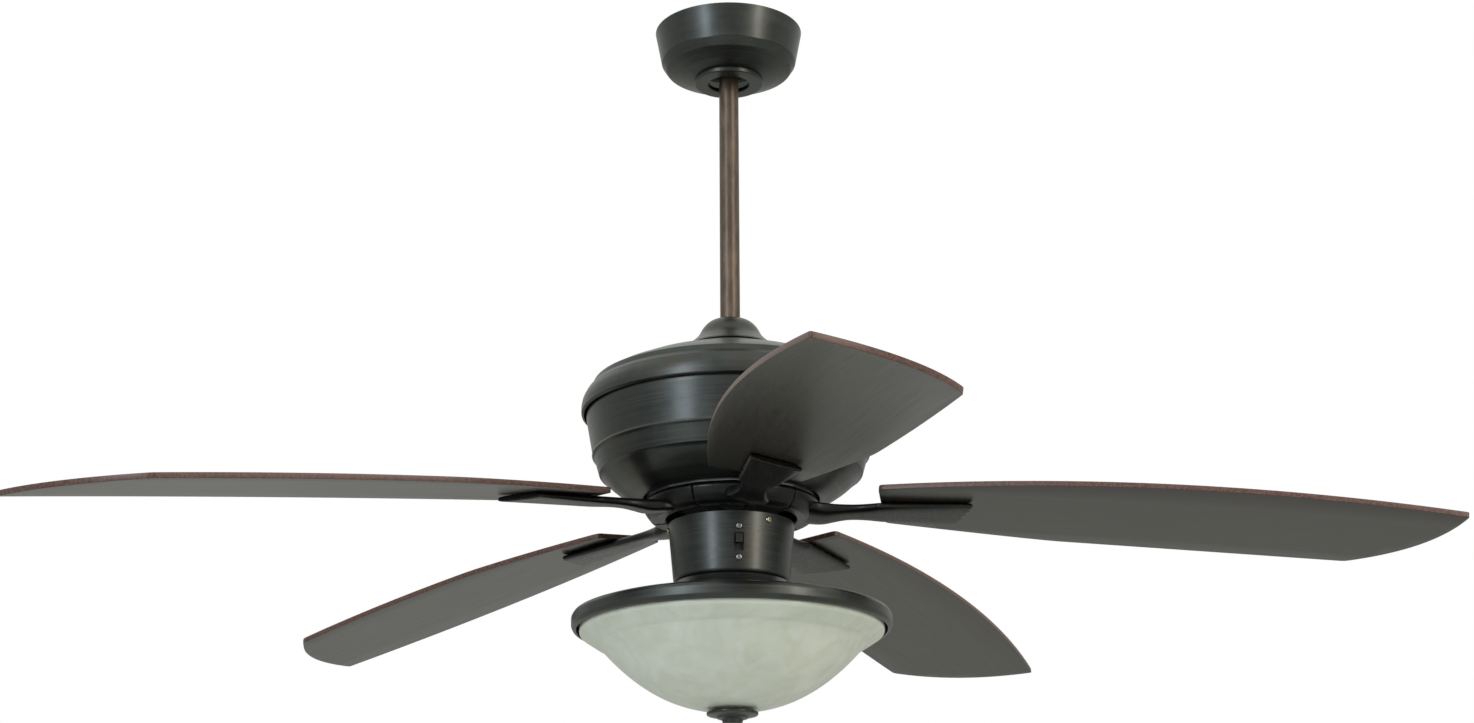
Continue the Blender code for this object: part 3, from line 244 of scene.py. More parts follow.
def turning_lines(tree, per_metre, drift=3.0):
    """Rings round the axis: noise that changes fast with height and radius and slowly round the piece."""
    place = add(tree, "ShaderNodeTexCoord")
    split = add(tree, "ShaderNodeSeparateXYZ", {}, {0: place.outputs["Object"]})
    x, y = split.outputs["X"], split.outputs["Y"]
    square_x = add(tree, "ShaderNodeMath", {"operation": "MULTIPLY"}, {0: x, 1: x})
    square = add(tree, "ShaderNodeMath", {"operation": "MULTIPLY_ADD"}, {0: y, 1: y, 2: square_x.outputs[0]})
    radius = add(tree, "ShaderNodeMath", {"operation": "SQRT"}, {0: square.outputs[0]})
    along = add(tree, "ShaderNodeMath", {"operation": "SUBTRACT"},
                {0: radius.outputs[0], 1: split.outputs["Z"]})
    fast = add(tree, "ShaderNodeMath", {"operation": "MULTIPLY", 1: per_metre}, {0: along.outputs[0]})
    slow = add(tree, "ShaderNodeVectorMath", {"operation": "SCALE", "Scale": drift},
               {0: place.outputs["Object"]})
    rings = add(tree, "ShaderNodeTexNoise", {"noise_dimensions": "4D", "Scale": 1.0, "Detail": 2.0},
                {"Vector": slow.outputs[0], "W": fast.outputs[0]})
    return rings.outputs["Fac"], place.outputs["Object"]


def spun_bronze(name, dark, light, warm, roughness):
    """Sheet steel spun on a lathe, plated dark bronze, brushed and lacquered: neutral dark metal whose
    highlights stay soft and upright, with fine rings and a trace of brown where the plating is thin.
    The rings are 1.2 mm apart, coarser than the real 0.3 mm, so that they show."""
    material, tree, shader = finish(name, dark, Metallic=0.92, Roughness=roughness,
                                    Coat_Weight=0.25, Coat_Roughness=0.22)
    rings, place = turning_lines(tree, 830.0)
    cloud = add(tree, "ShaderNodeTexNoise", {"Scale": 22.0, "Detail": 5.0, "Roughness": 0.6},
                {"Vector": place})
    tone = ramp(tree, cloud.outputs["Fac"], (0.30, dark), (0.52, light), (0.72, warm))
    fleck = add(tree, "ShaderNodeMapRange", {1: 0.3, 2: 0.7, 3: 0.86, 4: 1.12}, {0: rings})
    shaded = add(tree, "ShaderNodeVectorMath", {"operation": "SCALE"}, {0: tone, "Scale": fleck.outputs[0]})
    tree.links.new(shaded.outputs[0], shader.inputs["Base Color"])
    rough = add(tree, "ShaderNodeMapRange", {1: 0.3, 2: 0.7, 3: roughness - 0.05, 4: roughness + 0.07},
                {0: rings})
    tree.links.new(rough.outputs[0], shader.inputs["Roughness"])
    bump = add(tree, "ShaderNodeBump", {"Strength": 0.10, "Distance": 0.0001}, {"Height": rings})
    tree.links.new(bump.outputs[0], shader.inputs["Normal"])
    return material


def cast_bronze_painted_shade():
    """Zinc alloy die castings under the same dark bronze, toned darker than the spun pieces as painted shade
    for the irons' down-facing ring and plates: slightly orange-peeled in 2.5 mm dimples, with clouds of brown
    30 mm across where the plating is rubbed."""
    material, tree, shader = finish("oil_rubbed_bronze_cast_painted_shade", "#2d2f2e", Metallic=0.88, Roughness=0.40,
                                    Coat_Weight=0.3, Coat_Roughness=0.25)
    place = add(tree, "ShaderNodeTexCoord")
    here = place.outputs["Object"]
    peel = add(tree, "ShaderNodeTexNoise", {"Scale": 420.0, "Detail": 3.0}, {"Vector": here})
    cloud = add(tree, "ShaderNodeTexNoise", {"Scale": 30.0, "Detail": 5.0}, {"Vector": here})
    # Tones darker than the spun bronze: painted shade, with brown clouds where the plating is rubbed.
    tone = ramp(tree, cloud.outputs["Fac"], (0.3, "#191b1a"), (0.55, "#222423"), (0.75, "#2b2722"))
    tree.links.new(tone, shader.inputs["Base Color"])
    rough = add(tree, "ShaderNodeMapRange", {1: 0.3, 2: 0.7, 3: 0.34, 4: 0.48}, {0: peel.outputs["Fac"]})
    tree.links.new(rough.outputs[0], shader.inputs["Roughness"])
    bump = add(tree, "ShaderNodeBump", {"Strength": 0.25, "Distance": 0.0002},
               {"Height": peel.outputs["Fac"]})
    tree.links.new(bump.outputs[0], shader.inputs["Normal"])
    return material


def rubbed_tube():
    """Drawn steel tube in a hand-rubbed brown bronze: mottled tan and umber, 6 mm across and four times
    as long as they are wide."""
    material, tree, shader = finish("brown_bronze_tube", "#5b4d40", Metallic=0.75, Roughness=0.42,
                                    Coat_Weight=0.3, Coat_Roughness=0.3)
    place = add(tree, "ShaderNodeTexCoord")
    stretch = add(tree, "ShaderNodeMapping", {"Scale": (1.0, 1.0, 0.22)}, {"Vector": place.outputs["Object"]})
    mottle = add(tree, "ShaderNodeTexNoise", {"Scale": 160.0, "Detail": 6.0, "Roughness": 0.65},
                 {"Vector": stretch.outputs[0]})
    tone = ramp(tree, mottle.outputs["Fac"], (0.28, "#41362c"), (0.5, "#5d4f43"), (0.72, "#756555"))
    tree.links.new(tone, shader.inputs["Base Color"])
    rough = add(tree, "ShaderNodeMapRange", {1: 0.3, 2: 0.7, 3: 0.42, 4: 0.56},
                {0: mottle.outputs["Fac"]})
    tree.links.new(rough.outputs[0], shader.inputs["Roughness"])
    return material


def walnut_blade():
    """Plywood blade under a printed dark walnut film with a satin clear coat: nearly black brown with
    long grain and short pores, and a broad pale sheen at a low angle. Grain lines are about 3 mm apart
    and pores 0.7 mm wide, and both run along the blade; the edges have a finish of their own."""
    material, tree, shader = finish("dark_walnut_blade", "#2d2620", Roughness=0.34, IOR=1.5,
                                    Coat_Weight=0.32, Coat_Roughness=0.28)
    along = add(tree, "ShaderNodeUVMap", {"uv_map": "along_and_across"})
    wave = add(tree, "ShaderNodeMapping", {"Scale": (3.0, 26.0, 1.0)}, {"Vector": along.outputs[0]})
    bend = add(tree, "ShaderNodeTexNoise", {"Scale": 1.0, "Detail": 2.0}, {"Vector": wave.outputs[0]})
    fibre = add(tree, "ShaderNodeMapping", {"Scale": (9.0, 330.0, 1.0)}, {"Vector": along.outputs[0]})
    drift = add(tree, "ShaderNodeVectorMath", {"operation": "MULTIPLY_ADD", 1: (0.0, 7.0, 0.0)},
                {0: bend.outputs["Color"], 2: fibre.outputs[0]})
    grain = add(tree, "ShaderNodeTexNoise", {"Scale": 1.0, "Detail": 4.0, "Roughness": 0.6},
                {"Vector": drift.outputs[0]})
    pore = add(tree, "ShaderNodeMapping", {"Scale": (60.0, 1400.0, 1.0)}, {"Vector": along.outputs[0]})
    pores = add(tree, "ShaderNodeTexNoise", {"Scale": 1.0, "Detail": 1.0}, {"Vector": pore.outputs[0]})
    tone = ramp(tree, grain.outputs["Fac"], (0.28, "#211d18"), (0.50, "#2a241f"), (0.72, "#342c25"))
    dark = add(tree, "ShaderNodeMapRange", {1: 0.36, 2: 0.48, 3: 0.85, 4: 1.0}, {0: pores.outputs["Fac"]})
    shaded = add(tree, "ShaderNodeVectorMath", {"operation": "SCALE"}, {0: tone, "Scale": dark.outputs[0]})
    tree.links.new(shaded.outputs[0], shader.inputs["Base Color"])
    rough = add(tree, "ShaderNodeMapRange", {1: 0.3, 2: 0.7, 3: 0.30, 4: 0.40}, {0: grain.outputs["Fac"]})
    tree.links.new(rough.outputs[0], shader.inputs["Roughness"])
    bump = add(tree, "ShaderNodeBump", {"Strength": 0.12, "Distance": 0.0001},
               {"Height": pores.outputs["Fac"]})
    tree.links.new(bump.outputs[0], shader.inputs["Normal"])
    return material


def alabaster_glass():
    """Pressed glass with a white frit fired in, satin outside: a dense grey-green cream, opaque with the
    lamps off, with slow milky swirls about 80 mm across and wisps of 30 mm in them."""
    material, tree, shader = finish("alabaster_glass", "#c2c5b4", Roughness=0.34, IOR=1.5,
                                    Coat_Weight=0.35, Coat_Roughness=0.18)
    place = add(tree, "ShaderNodeTexCoord")
    swirl = add(tree, "ShaderNodeTexNoise",
                {"Scale": 13.0, "Detail": 4.0, "Roughness": 0.5, "Distortion": 2.2},
                {"Vector": place.outputs["Object"]})
    wisp = add(tree, "ShaderNodeTexNoise", {"Scale": 34.0, "Detail": 5.0, "Distortion": 1.4},
               {"Vector": place.outputs["Object"]})
    base = ramp(tree, swirl.outputs["Fac"], (0.30, "#ccd3c8"), (0.50, "#d5dbd1"), (0.70, "#dce1d7"))
    veil = ramp(tree, wisp.outputs["Fac"], (0.40, "#ffffff"), (0.66, "#f7f7f0"))
    mixed = add(tree, "ShaderNodeMix", {"data_type": "RGBA", "blend_type": "MULTIPLY", 0: 1.0},
                {6: base, 7: veil})
    tree.links.new(mixed.outputs[2], shader.inputs["Base Color"])
    rough = add(tree, "ShaderNodeMapRange", {1: 0.3, 2: 0.7, 3: 0.30, 4: 0.40}, {0: wisp.outputs["Fac"]})
    tree.links.new(rough.outputs[0], shader.inputs["Roughness"])
    return material


def flecked(name, low, high, scale, roughness, metallic=0.0, bump_depth=0.0, ior=1.5):
    """A finish with small even variation in tone, roughness and relief, at a scale per metre."""
    sockets = {} if metallic else {"IOR": ior}
    material, tree, shader = finish(name, low, Metallic=metallic, Roughness=roughness, **sockets)
    place = add(tree, "ShaderNodeTexCoord")
    noise = add(tree, "ShaderNodeTexNoise", {"Scale": scale, "Detail": 4.0},
                {"Vector": place.outputs["Object"]})
    fleck = noise.outputs["Fac"]
    tree.links.new(ramp(tree, fleck, (0.35, low), (0.65, high)), shader.inputs["Base Color"])
    rough = add(tree, "ShaderNodeMapRange", {1: 0.3, 2: 0.7, 3: roughness - 0.05, 4: roughness + 0.06},
                {0: fleck})
    tree.links.new(rough.outputs[0], shader.inputs["Roughness"])
    if bump_depth:
        bump = add(tree, "ShaderNodeBump", {"Strength": 0.4, "Distance": bump_depth}, {"Height": fleck})
        tree.links.new(bump.outputs[0], shader.inputs["Normal"])
    return material


def layered(name, low, high, per_metre, roughness):
    """Sheet or wire stacked along the axis: dark joints between bright layers."""
    material, tree, shader = finish(name, low, Metallic=1.0, Roughness=roughness)
    rings, _ = turning_lines(tree, per_metre, 8.0)
    tree.links.new(ramp(tree, rings, (0.42, low), (0.58, high)), shader.inputs["Base Color"])
    bump = add(tree, "ShaderNodeBump", {"Strength": 0.5, "Distance": 0.0002}, {"Height": rings})
    tree.links.new(bump.outputs[0], shader.inputs["Normal"])
    return material


def make_finishes():
    """One material for each slot of the record, with a darker second bronze for castings (painted shade) and
    one for blade edges.
    """
    spun = spun_bronze("oil_rubbed_bronze_spun", "#373a37", "#444745", "#48423b", 0.38)
    return {
        "oil_rubbed_bronze": spun,
        "cast_bronze_painted_shade": cast_bronze_painted_shade(),
        "brown_bronze_tube": rubbed_tube(),
        "dark_walnut_blade": walnut_blade(),
        # Stained and varnished plywood edge: brown with a trace of red, end-grain flecks 2 mm across.
        "blade_edge": flecked("stained_plywood_edge", "#46302b", "#6b4a41", 480.0, 0.40, 0.0, 0.0, 1.5),
        "alabaster_glass": alabaster_glass(),
        # Bright zinc on steel: cool grey spangle, 3 mm across.
        "zinc_steel": flecked("zinc_plated_steel", "#9a9da0", "#b9bcbf", 330.0, 0.32, 1.0, 0.00005),
        # Turned and lacquered brass: pale yellow, with duller patches 1 mm across.
        "brass_screw": flecked("lacquered_brass", "#9a9276", "#c4bda0", 900.0, 0.28, 1.0),
        # Sand-blasted aluminium casting: an even sparkle of 0.5 mm grit.
        "cast_aluminium": flecked("cast_aluminium", "#8d8f91", "#a9abad", 2000.0, 0.5, 1.0, 0.0001),
        # Punched 0.5 mm laminations, drawn 1 mm apart so that they show.
        "silicon_steel": layered("silicon_steel_laminations", "#3c3d40", "#77797d", 1000.0, 0.45),
        # Enamelled winding wire 0.6 mm thick, drawn 1 mm apart.
        "enamelled_copper": layered("enamelled_copper_wire", "#6a2c12", "#c0703a", 1000.0, 0.35),
        # Moulded nylon with a fine spark-eroded grain.
        "black_nylon": flecked("moulded_black_nylon", "#141413", "#232322", 1500.0, 0.48, 0.0, 0.00008, 1.53),
        # Soft clear rubber gone slightly grey.
        "rubber_washer": flecked("moulded_rubber", "#9d9d94", "#b4b4ab", 600.0, 0.68, 0.0, 0.0, 1.52),
        # Glazed porcelain: bone white, with the gloss of the glaze.
        "porcelain": flecked("glazed_porcelain", "#d8d5cb", "#e9e6de", 60.0, 0.2, 0.0, 0.0, 1.5),
        # Lamp bulb etched inside: even white with a soft sheen, clouded 20 mm across.
        "lamp_glass": flecked("etched_lamp_glass", "#e4e4e0", "#f0f0ee", 45.0, 0.3, 0.0, 0.0, 1.5),
        # Varnished glass-fibre sleeving over the leads.
        "wire_sleeve": flecked("wire_sleeve", "#121212", "#2b2b2a", 1100.0, 0.55, 0.0, 0.0001, 1.5),
    }


# ---------------------------------------------------------------- outlines of turned pieces

def rounded(corners, fine=6):
    """An outline whose corners (r, z, radius) are eased; a corner with radius 0 stays sharp."""
    points = []
    last = len(corners) - 1
    for i, (r, z, radius) in enumerate(corners):
        here = Vector((r, z))
        if radius == 0 or i in (0, last):
            points.append((r, z))
            continue
        back = Vector(corners[i - 1][:2]) - here
        on = Vector(corners[i + 1][:2]) - here
        half = back.angle(on) / 2
        cut = min(radius / tan(half), 0.49 * back.length, 0.49 * on.length)
        for k in range(fine + 1):
            t = k / fine
            point = here + back.normalized() * cut * (1 - t) ** 2 + on.normalized() * cut * t * t
            points.append(tuple(point))
    return points


def inside(outline, wall):
    """The outline moved in by the wall, for an outline that runs down its outer side."""
    moved = []
    last = len(outline) - 1
    for i, (r, z) in enumerate(outline):
        normals = []
        for a, b in ((i - 1, i), (i, i + 1)):
            if a < 0 or b > last:
                continue
            run = outline[b][0] - outline[a][0], outline[b][1] - outline[a][1]
            length = hypot(*run)
            normals.append((run[1] / length, -run[0] / length))
        n = sum(v[0] for v in normals), sum(v[1] for v in normals)
        size = hypot(*n)
        n = n[0] / size, n[1] / size
        share = max(0.5, n[0] * normals[0][0] + n[1] * normals[0][1])
        moved.append((r + n[0] * wall / share, z + n[1] * wall / share))
    return moved


def smooth_run(points, fine=5):
    """A smooth curve through all the points of an outline."""
    ends = [points[0]] + list(points) + [points[-1]]
    run = []
    for a, b, c, d in zip(ends, ends[1:], ends[2:], ends[3:]):
        for k in range(fine):
            t = k / fine
            run.append(tuple(0.5 * (2 * q + (r - p) * t + (2 * p - 5 * q + 4 * r - w) * t * t
                                    + (3 * q - p - 3 * r + w) * t ** 3)
                             for p, q, r, w in zip(a, b, c, d)))
    return run + [tuple(points[-1])]


def quadratic(start, pull, end, steps):
    """Points on a curve from start to end, drawn towards pull."""
    points = []
    for i in range(steps + 1):
        t = i / steps
        points.append(tuple((1 - t) ** 2 * a + 2 * t * (1 - t) * b + t * t * c
                            for a, b, c in zip(start, pull, end)))
    return points


# ---------------------------------------------------------------- modelling

def draw(name, points):
    """Starts a piece as one corner and extrudes it along the points, in millimetres. Stays in edit mode."""
    bpy.ops.object.select_all(action="DESELECT")
    bpy.ops.mesh.primitive_plane_add(size=MM, location=(0, 0, 0))
    piece = bpy.context.object
    piece.name = name
    bpy.ops.object.mode_set(mode="EDIT")
    bpy.ops.mesh.merge(type="CENTER")
    here = Vector(points[0]) * MM
    bpy.ops.transform.translate(value=here)
    for point in points[1:]:
        after = Vector(point) * MM
        bpy.ops.mesh.extrude_region_move(TRANSFORM_OT_translate={"value": after - here})
        here = after
    bpy.ops.mesh.select_all(action="SELECT")
    return piece


def tidy(piece, angle=30.0):
    """Merges doubles, turns the faces outwards and shades the piece smooth up to an angle."""
    bpy.ops.mesh.select_all(action="SELECT")
    bpy.ops.mesh.remove_doubles(threshold=MERGE * MM)
    bpy.ops.mesh.dissolve_degenerate(threshold=0.001 * MM)
    bpy.ops.mesh.normals_make_consistent(inside=False)
    bpy.ops.object.mode_set(mode="OBJECT")
    bpy.ops.object.shade_smooth_by_angle(angle=radians(angle))
    return piece


def lathe(name, outline, steps=STEPS, closed=True):
    """A piece turned about the fan's axis from an outline of (r, z)."""
    points = [(r, 0, z) for r, z in outline]
    if closed:
        points.append(points[0])
    piece = draw(name, points)
    bpy.ops.mesh.spin(steps=steps, angle=2 * pi, center=(0, 0, 0), axis=(0, 0, 1))
    return tidy(piece)


def sheet_lathe(name, outline, wall, steps=STEPS):
    """A turned piece of sheet whose outer side is the outline."""
    return lathe(name, outline + inside(outline, wall)[::-1], steps)


def cube(name, low, high):
    """A box between two corners, in millimetres, in edit mode."""
    bpy.ops.object.select_all(action="DESELECT")
    bpy.ops.mesh.primitive_cube_add(size=1.0, location=(0, 0, 0))
    piece = bpy.context.object
    piece.name = name
    bpy.ops.object.mode_set(mode="EDIT")
    bpy.ops.transform.resize(value=[(b - a) * MM for a, b in zip(low, high)])
    bpy.ops.transform.translate(value=[(a + b) / 2 * MM for a, b in zip(low, high)])
    return piece


def modify(piece, kind, **settings):
    """Adds a modifier and applies it."""
    bpy.ops.object.select_all(action="DESELECT")
    piece.select_set(True)
    bpy.context.view_layer.objects.active = piece
    made = piece.modifiers.new(kind.lower(), kind)
    for key, value in settings.items():
        setattr(made, key, value)
    bpy.ops.object.modifier_apply(modifier=made.name)
    return piece


def cut(piece, tool):
    """Takes the tool's shape out of the piece."""
    modify(piece, "BOOLEAN", operation="DIFFERENCE", solver="EXACT", object=tool)
    bpy.data.objects.remove(tool)
    return piece


def place(piece, matrix):
    """Puts a piece's mesh in its place; the object stays at the origin."""
    scaled = matrix.copy()
    scaled.translation = scaled.translation * MM
    piece.data.transform(scaled)
    piece.data.update()
    return piece


def copy(piece, name):
    """A copy with its own mesh."""
    made = piece.copy()
    made.data = piece.data.copy()
    made.name = name
    bpy.context.scene.collection.objects.link(made)
    return made


def fit(piece, node, body, slot, finishes, *looks):
    """Gives a piece its finishes and body, in the place of one CAD node."""
    looks = looks or (slot,)
    while len(piece.data.materials) < len(looks):
        piece.data.materials.append(None)
    for i, look in enumerate(looks):
        piece.data.materials[i] = finishes[look]
    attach(piece, body)
    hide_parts(node)
    return piece


# ---------------------------------------------------------------- ceiling end and downrod

def make_ceiling_end(kit):
    make_canopy(kit)
    make_screw_cover(kit)
    make_hanger_ball(kit)
    rim, bore = ROD_RADIUS - 0.6, ROD_RADIUS - 1.6
    tube = [(ROD_RADIUS, ROD_FOOT_Z), (ROD_RADIUS, ROD_TOP_Z - 0.6), (rim, ROD_TOP_Z), (bore, ROD_TOP_Z),
            (bore, ROD_FOOT_Z)]
    fit(lathe("downrod_tube", tube, FEW), "downrod", "fan_body", "brown_bronze_tube", kit)


def make_canopy(kit):
    """A tapered cup with a coned foot, and the holes for its two screws."""
    foot = CANOPY_FOOT_Z
    outline = rounded([(CANOPY_RADIUS, -0.5, 0), (CANOPY_RADIUS - 6.1, foot + 18.0, 5.0),
                       (CANOPY_RADIUS - 11.1, foot + 10.3, 4.0), (CANOPY_RADIUS - 26.0, foot + 4.5, 12.0),
                       (CANOPY_RADIUS - 40.0, foot, 2.0), (CANOPY_RADIUS - 49.5, foot, 0)])
    piece = sheet_lathe("canopy_spun", outline, SPUN_WALL)
    screw_spread, screw_hole = 29.0, 2.2
    for side in (-1, 1):
        drill = [(0, foot - 5.5), (screw_hole, foot - 5.5), (screw_hole, foot + 10.5), (0, foot + 10.5)]
        hole = lathe("hole", drill, 24, closed=False)
        cut(piece, place(hole, Matrix.Translation((screw_spread * side, 0, 0))))
    fit(piece, "canopy", "ceiling_end", "oil_rubbed_bronze", kit)


def make_screw_cover(kit):
    """The shallow ring that hides the canopy's screws."""
    outer, inner = 33.8, 20.3
    top = CANOPY_FOOT_Z - GAP
    foot = top - 4.2
    outline = rounded([(outer, top, 0), (outer, foot, 1.6), (inner, foot, 0.9), (inner, top, 0),
                       (inner + 1.2, top, 0), (inner + 1.2, foot + 1.4, 0), (outer - 1.4, foot + 1.6, 0),
                       (outer - 1.4, top, 0)], 8)
    fit(lathe("screw_cover_ring", outline), "canopy_screw_cover", "ceiling_end", "oil_rubbed_bronze", kit)


def make_hanger_ball(kit):
    """The ball on the tube's top, cut off above and below, with a slot for its cross pin."""
    arc = []
    for degrees in range(38, -51, -4):
        turn = radians(degrees)
        arc.append((BALL_RADIUS * cos(turn), BALL_Z + BALL_RADIUS * sin(turn)))
    bore = ROD_RADIUS + GAP
    ball = lathe("hanger_ball_turned", arc + [(bore, arc[-1][1]), (bore, arc[0][1])], FEW)
    half = 2.8
    slot = cube("slot", (-half, -BALL_RADIUS - 1, BALL_Z - half), (half, BALL_RADIUS + 1, BALL_Z + half))
    bpy.ops.mesh.bevel(offset=2.2 * MM, segments=3, affect="EDGES")
    bpy.ops.object.mode_set(mode="OBJECT")
    fit(cut(ball, slot), "hanger_ball", "fan_body", "black_nylon", kit)


# ---------------------------------------------------------------- motor

# The coupling cover's outline: shares of the way out from the rod to the rim, and of its height
BELL = ((0.0, 1.0), (0.17, 0.97), (0.32, 0.88), (0.46, 0.71), (0.60, 0.44), (0.79, 0.23), (0.94, 0.11),
        (1.0, 0.04))


def make_motor(kit):
    """The coupling's cover, the domed lid with its band, and the tapered bowl with its ridge and step."""
    base = CROWN_Z + GAP
    neck = ROD_RADIUS + 1.0
    bell = smooth_run([(neck + (COVER_RADIUS - neck) * out, base + COVER_HEIGHT * up) for out, up in BELL])
    fit(sheet_lathe("coupling_cup", bell, 1.0), "coupling_cover", "fan_body", "oil_rubbed_bronze", kit)

    m, lip = MOTOR_RADIUS, LIP_Z
    band = lip + 25.4
    lid = rounded([(24.8, CROWN_Z, 0), (COVER_RADIUS, CROWN_Z, 12.0), (96.5, band + 21.0, 90.0),
                   (119.5, band + 10.8, 40.0), (m - 11.0, band + 5.0, 2.2), (m - 9.6, band, 0.5),
                   (m - 5.0, band - 4.4, 5.0), (m - 1.0, lip + 13.6, 30.0), (m, lip + 7.4, 12.0),
                   (m, lip + 1.2, 1.6), (m - 2.4, lip, 0)])
    fit(sheet_lathe("motor_lid", lid, HOUSING_WALL), "motor_upper_housing", "fan_body",
        "oil_rubbed_bronze", kit)

    step, foot, opening = lip - 57.6, BOWL_FOOT_Z, MOTOR_OPENING_RADIUS
    wall = rounded([(m - 5.0, lip + 12.0, 0), (m - 5.0, lip - 3.5, 3.0), (m - 11.0, lip - 37.6, 1.5),
                    (m - 10.4, lip - 39.6, 0.8), (m - 13.0, lip - 41.6, 0.8), (m - 17.5, step, 1.0),
                    (m - 19.9, step - 1.0, 0)])
    rim = opening + 3.3
    pull = (m + opening - 15.6) / 2, foot + 5.4
    bowl = quadratic((m - 19.9, step - 1.0), pull, (rim, foot + 0.4), 16)
    bowl += rounded([(rim, foot + 0.4, 0), (opening, foot, 1.6), (opening, foot + 3.0, 0)])[1:]
    fit(sheet_lathe("motor_bowl", wall[:-1] + bowl, HOUSING_WALL), "motor_lower_housing", "fan_body",
        "oil_rubbed_bronze", kit)


# ---------------------------------------------------------------- blades and irons

def blade_frame(number):
    """Turns a blade's own axes, along +X and leading edge on +Y, to its place round the rotor."""
    angle = radians(BLADE_START + 360.0 / BLADES * (number - 1) - 90.0)
    return Matrix.Rotation(angle, 4, "Z") @ Matrix.Diagonal((1, -1, 1, 1))


def underside(r, s):
    """Height of a blade's underside at r along and s across."""
    return PLANE_Z + BLADE_PITCH * s - BLADE_DROOP * r - BLADE_SAG * (r - 0.65 * TIP_RADIUS) ** 2


def lead_edge(r):
    """How far the leading edge is from the blade's centre line."""
    u = (TIP_REACH - r) / TIP_RADIUS
    return LEAD_TIP + TIP_RADIUS * (0.1339 * u - 0.2280 * u * u)


def trail_edge(r):
    """The trailing edge, which draws in near the root."""
    u = (TRAIL_END - r) / TIP_RADIUS
    taper = max(0.0, (TAPER_REACH - r) / (TAPER_REACH - BLADE_ROOT))
    return -TRAIL_TIP - TIP_RADIUS * (0.0449 * u - 0.1084 * u * u) + ROOT_TAPER * taper ** 1.2


def blade_outline():
    """Along the leading edge, round the slanted tip and back along the trailing edge."""
    lead_steps, tip_steps, trail_steps = 40, 16, 34
    root_round, point_round, heel_round = 6.0, 2.5, 16.0
    lead = []
    for i in range(lead_steps + 1):
        r = BLADE_ROOT + (TIP_REACH - BLADE_ROOT) * i / lead_steps
        lead.append((r, lead_edge(r), {0: root_round, lead_steps: point_round}.get(i, 0)))
    tip = []
    run_r, run_s = TRAIL_END - TIP_REACH, trail_edge(TRAIL_END) - LEAD_TIP
    length = hypot(run_r, run_s)
    for i in range(1, tip_steps):
        t = i / tip_steps
        bulge = TIP_BULGE * 4 * t * (1 - t)
        tip.append((TIP_REACH + run_r * t - bulge * run_s / length,
                    LEAD_TIP + run_s * t + bulge * run_r / length, 0))
    trail = []
    for i in range(trail_steps + 1):
        r = TRAIL_END + (BLADE_ROOT - TRAIL_END) * i / trail_steps
        trail.append((r, trail_edge(r), {0: heel_round, trail_steps: root_round}.get(i, 0)))
    corners = lead + tip + trail
    eased = rounded([corners[-1]] + corners + [corners[0]])
    return eased[1:-1]


def make_blade():
    """One blade in its own axes: a flat outline, cut across into strips, bowed and given its thickness."""
    outline = blade_outline()
    piece = draw("blade", [(r, s, 0) for r, s in outline + outline[:1]])
    bpy.ops.mesh.remove_doubles(threshold=MERGE * MM)
    bpy.ops.mesh.edge_face_add()
    strips = 42
    for i in range(1, strips):
        at = BLADE_ROOT + (TIP_REACH - BLADE_ROOT) * i / strips
        bpy.ops.mesh.select_all(action="SELECT")
        bpy.ops.mesh.bisect(plane_co=(at * MM, 0, 0), plane_no=(1, 0, 0))
    for s in (-45.0, -15.0, 15.0, 45.0):
        bpy.ops.mesh.select_all(action="SELECT")
        bpy.ops.mesh.bisect(plane_co=(0, s * MM, 0), plane_no=(0, 1, 0))
    bpy.ops.object.mode_set(mode="OBJECT")
    marks = piece.data.uv_layers.new(name="along_and_across")
    for loop in piece.data.loops:
        at = piece.data.vertices[loop.vertex_index].co
        marks.data[loop.index].uv = (at.x, at.y)
    for corner in piece.data.vertices:
        corner.co.z = underside(corner.co.x / MM, corner.co.y / MM) * MM
    if piece.data.polygons[0].normal.z < 0:
        piece.data.flip_normals()
    piece.data.materials.append(None)
    piece.data.materials.append(None)
    modify(piece, "SOLIDIFY", thickness=BLADE_THICKNESS * MM, offset=1.0, use_even_offset=True,
           material_offset_rim=1)
    modify(piece, "BEVEL", width=1.1 * MM, segments=3, limit_method="ANGLE", angle_limit=radians(50),
           material=0)
    return piece


def make_blades(kit):
    pattern = make_blade()
    slot = "dark_walnut_blade"
    for number in range(1, BLADES + 1):
        piece = place(copy(pattern, f"blade_veneered_{number}"), blade_frame(number))
        piece.data.flip_normals()
        select_only(piece)
        bpy.ops.object.shade_smooth_by_angle(angle=radians(40))
        fit(piece, f"blade_{number}", "rotor", slot, kit, slot, "blade_edge")
    bpy.data.objects.remove(pattern)


def select_only(piece):
    bpy.ops.object.select_all(action="DESELECT")
    piece.select_set(True)
    bpy.context.view_layer.objects.active = piece


ARM_START = IRON_INNER + 7.0
ARM_STATIONS = [
    # reach, lead and trail half widths, 1 where the top follows the blade, its fall where it doesn't, depth
    (ARM_START, 21.0, 21.0, 0, 9.8, 11.0),
    (80.0, 20.0, 20.0, 0, 9.8, 12.0),
    (88.0, 17.0, 17.0, 0, 10.6, 12.0),
    (97.0, 14.2, 14.2, 0, 13.6, 10.6),
    (108.0, 12.8, 12.8, 0, 17.2, 8.8),
    (121.0, 13.8, 13.6, 0, 19.4, 8.0),
    (135.0, 18.0, 16.0, 1, 20.4, 8.0),
    (146.0, 22.5, 19.0, 1, 21.0, 8.0),
    (160.0, 26.0, 22.5, 1, 22.0, 8.0),
    (178.0, 29.5, 25.5, 1, 23.5, 8.0),
    (196.0, 31.0, 27.5, 1, 25.0, 8.0),
    (210.0, 31.0, 28.0, 1, 26.0, 8.0),
    (220.0, 29.5, 27.0, 1, 27.0, 7.4),
    (PLATE_END, 26.0, 24.0, 1, 27.5, 6.0),
]
ARM_RUN = smooth_run(ARM_STATIONS, 6)
ARM_LENGTHS = len(ARM_RUN) - 1


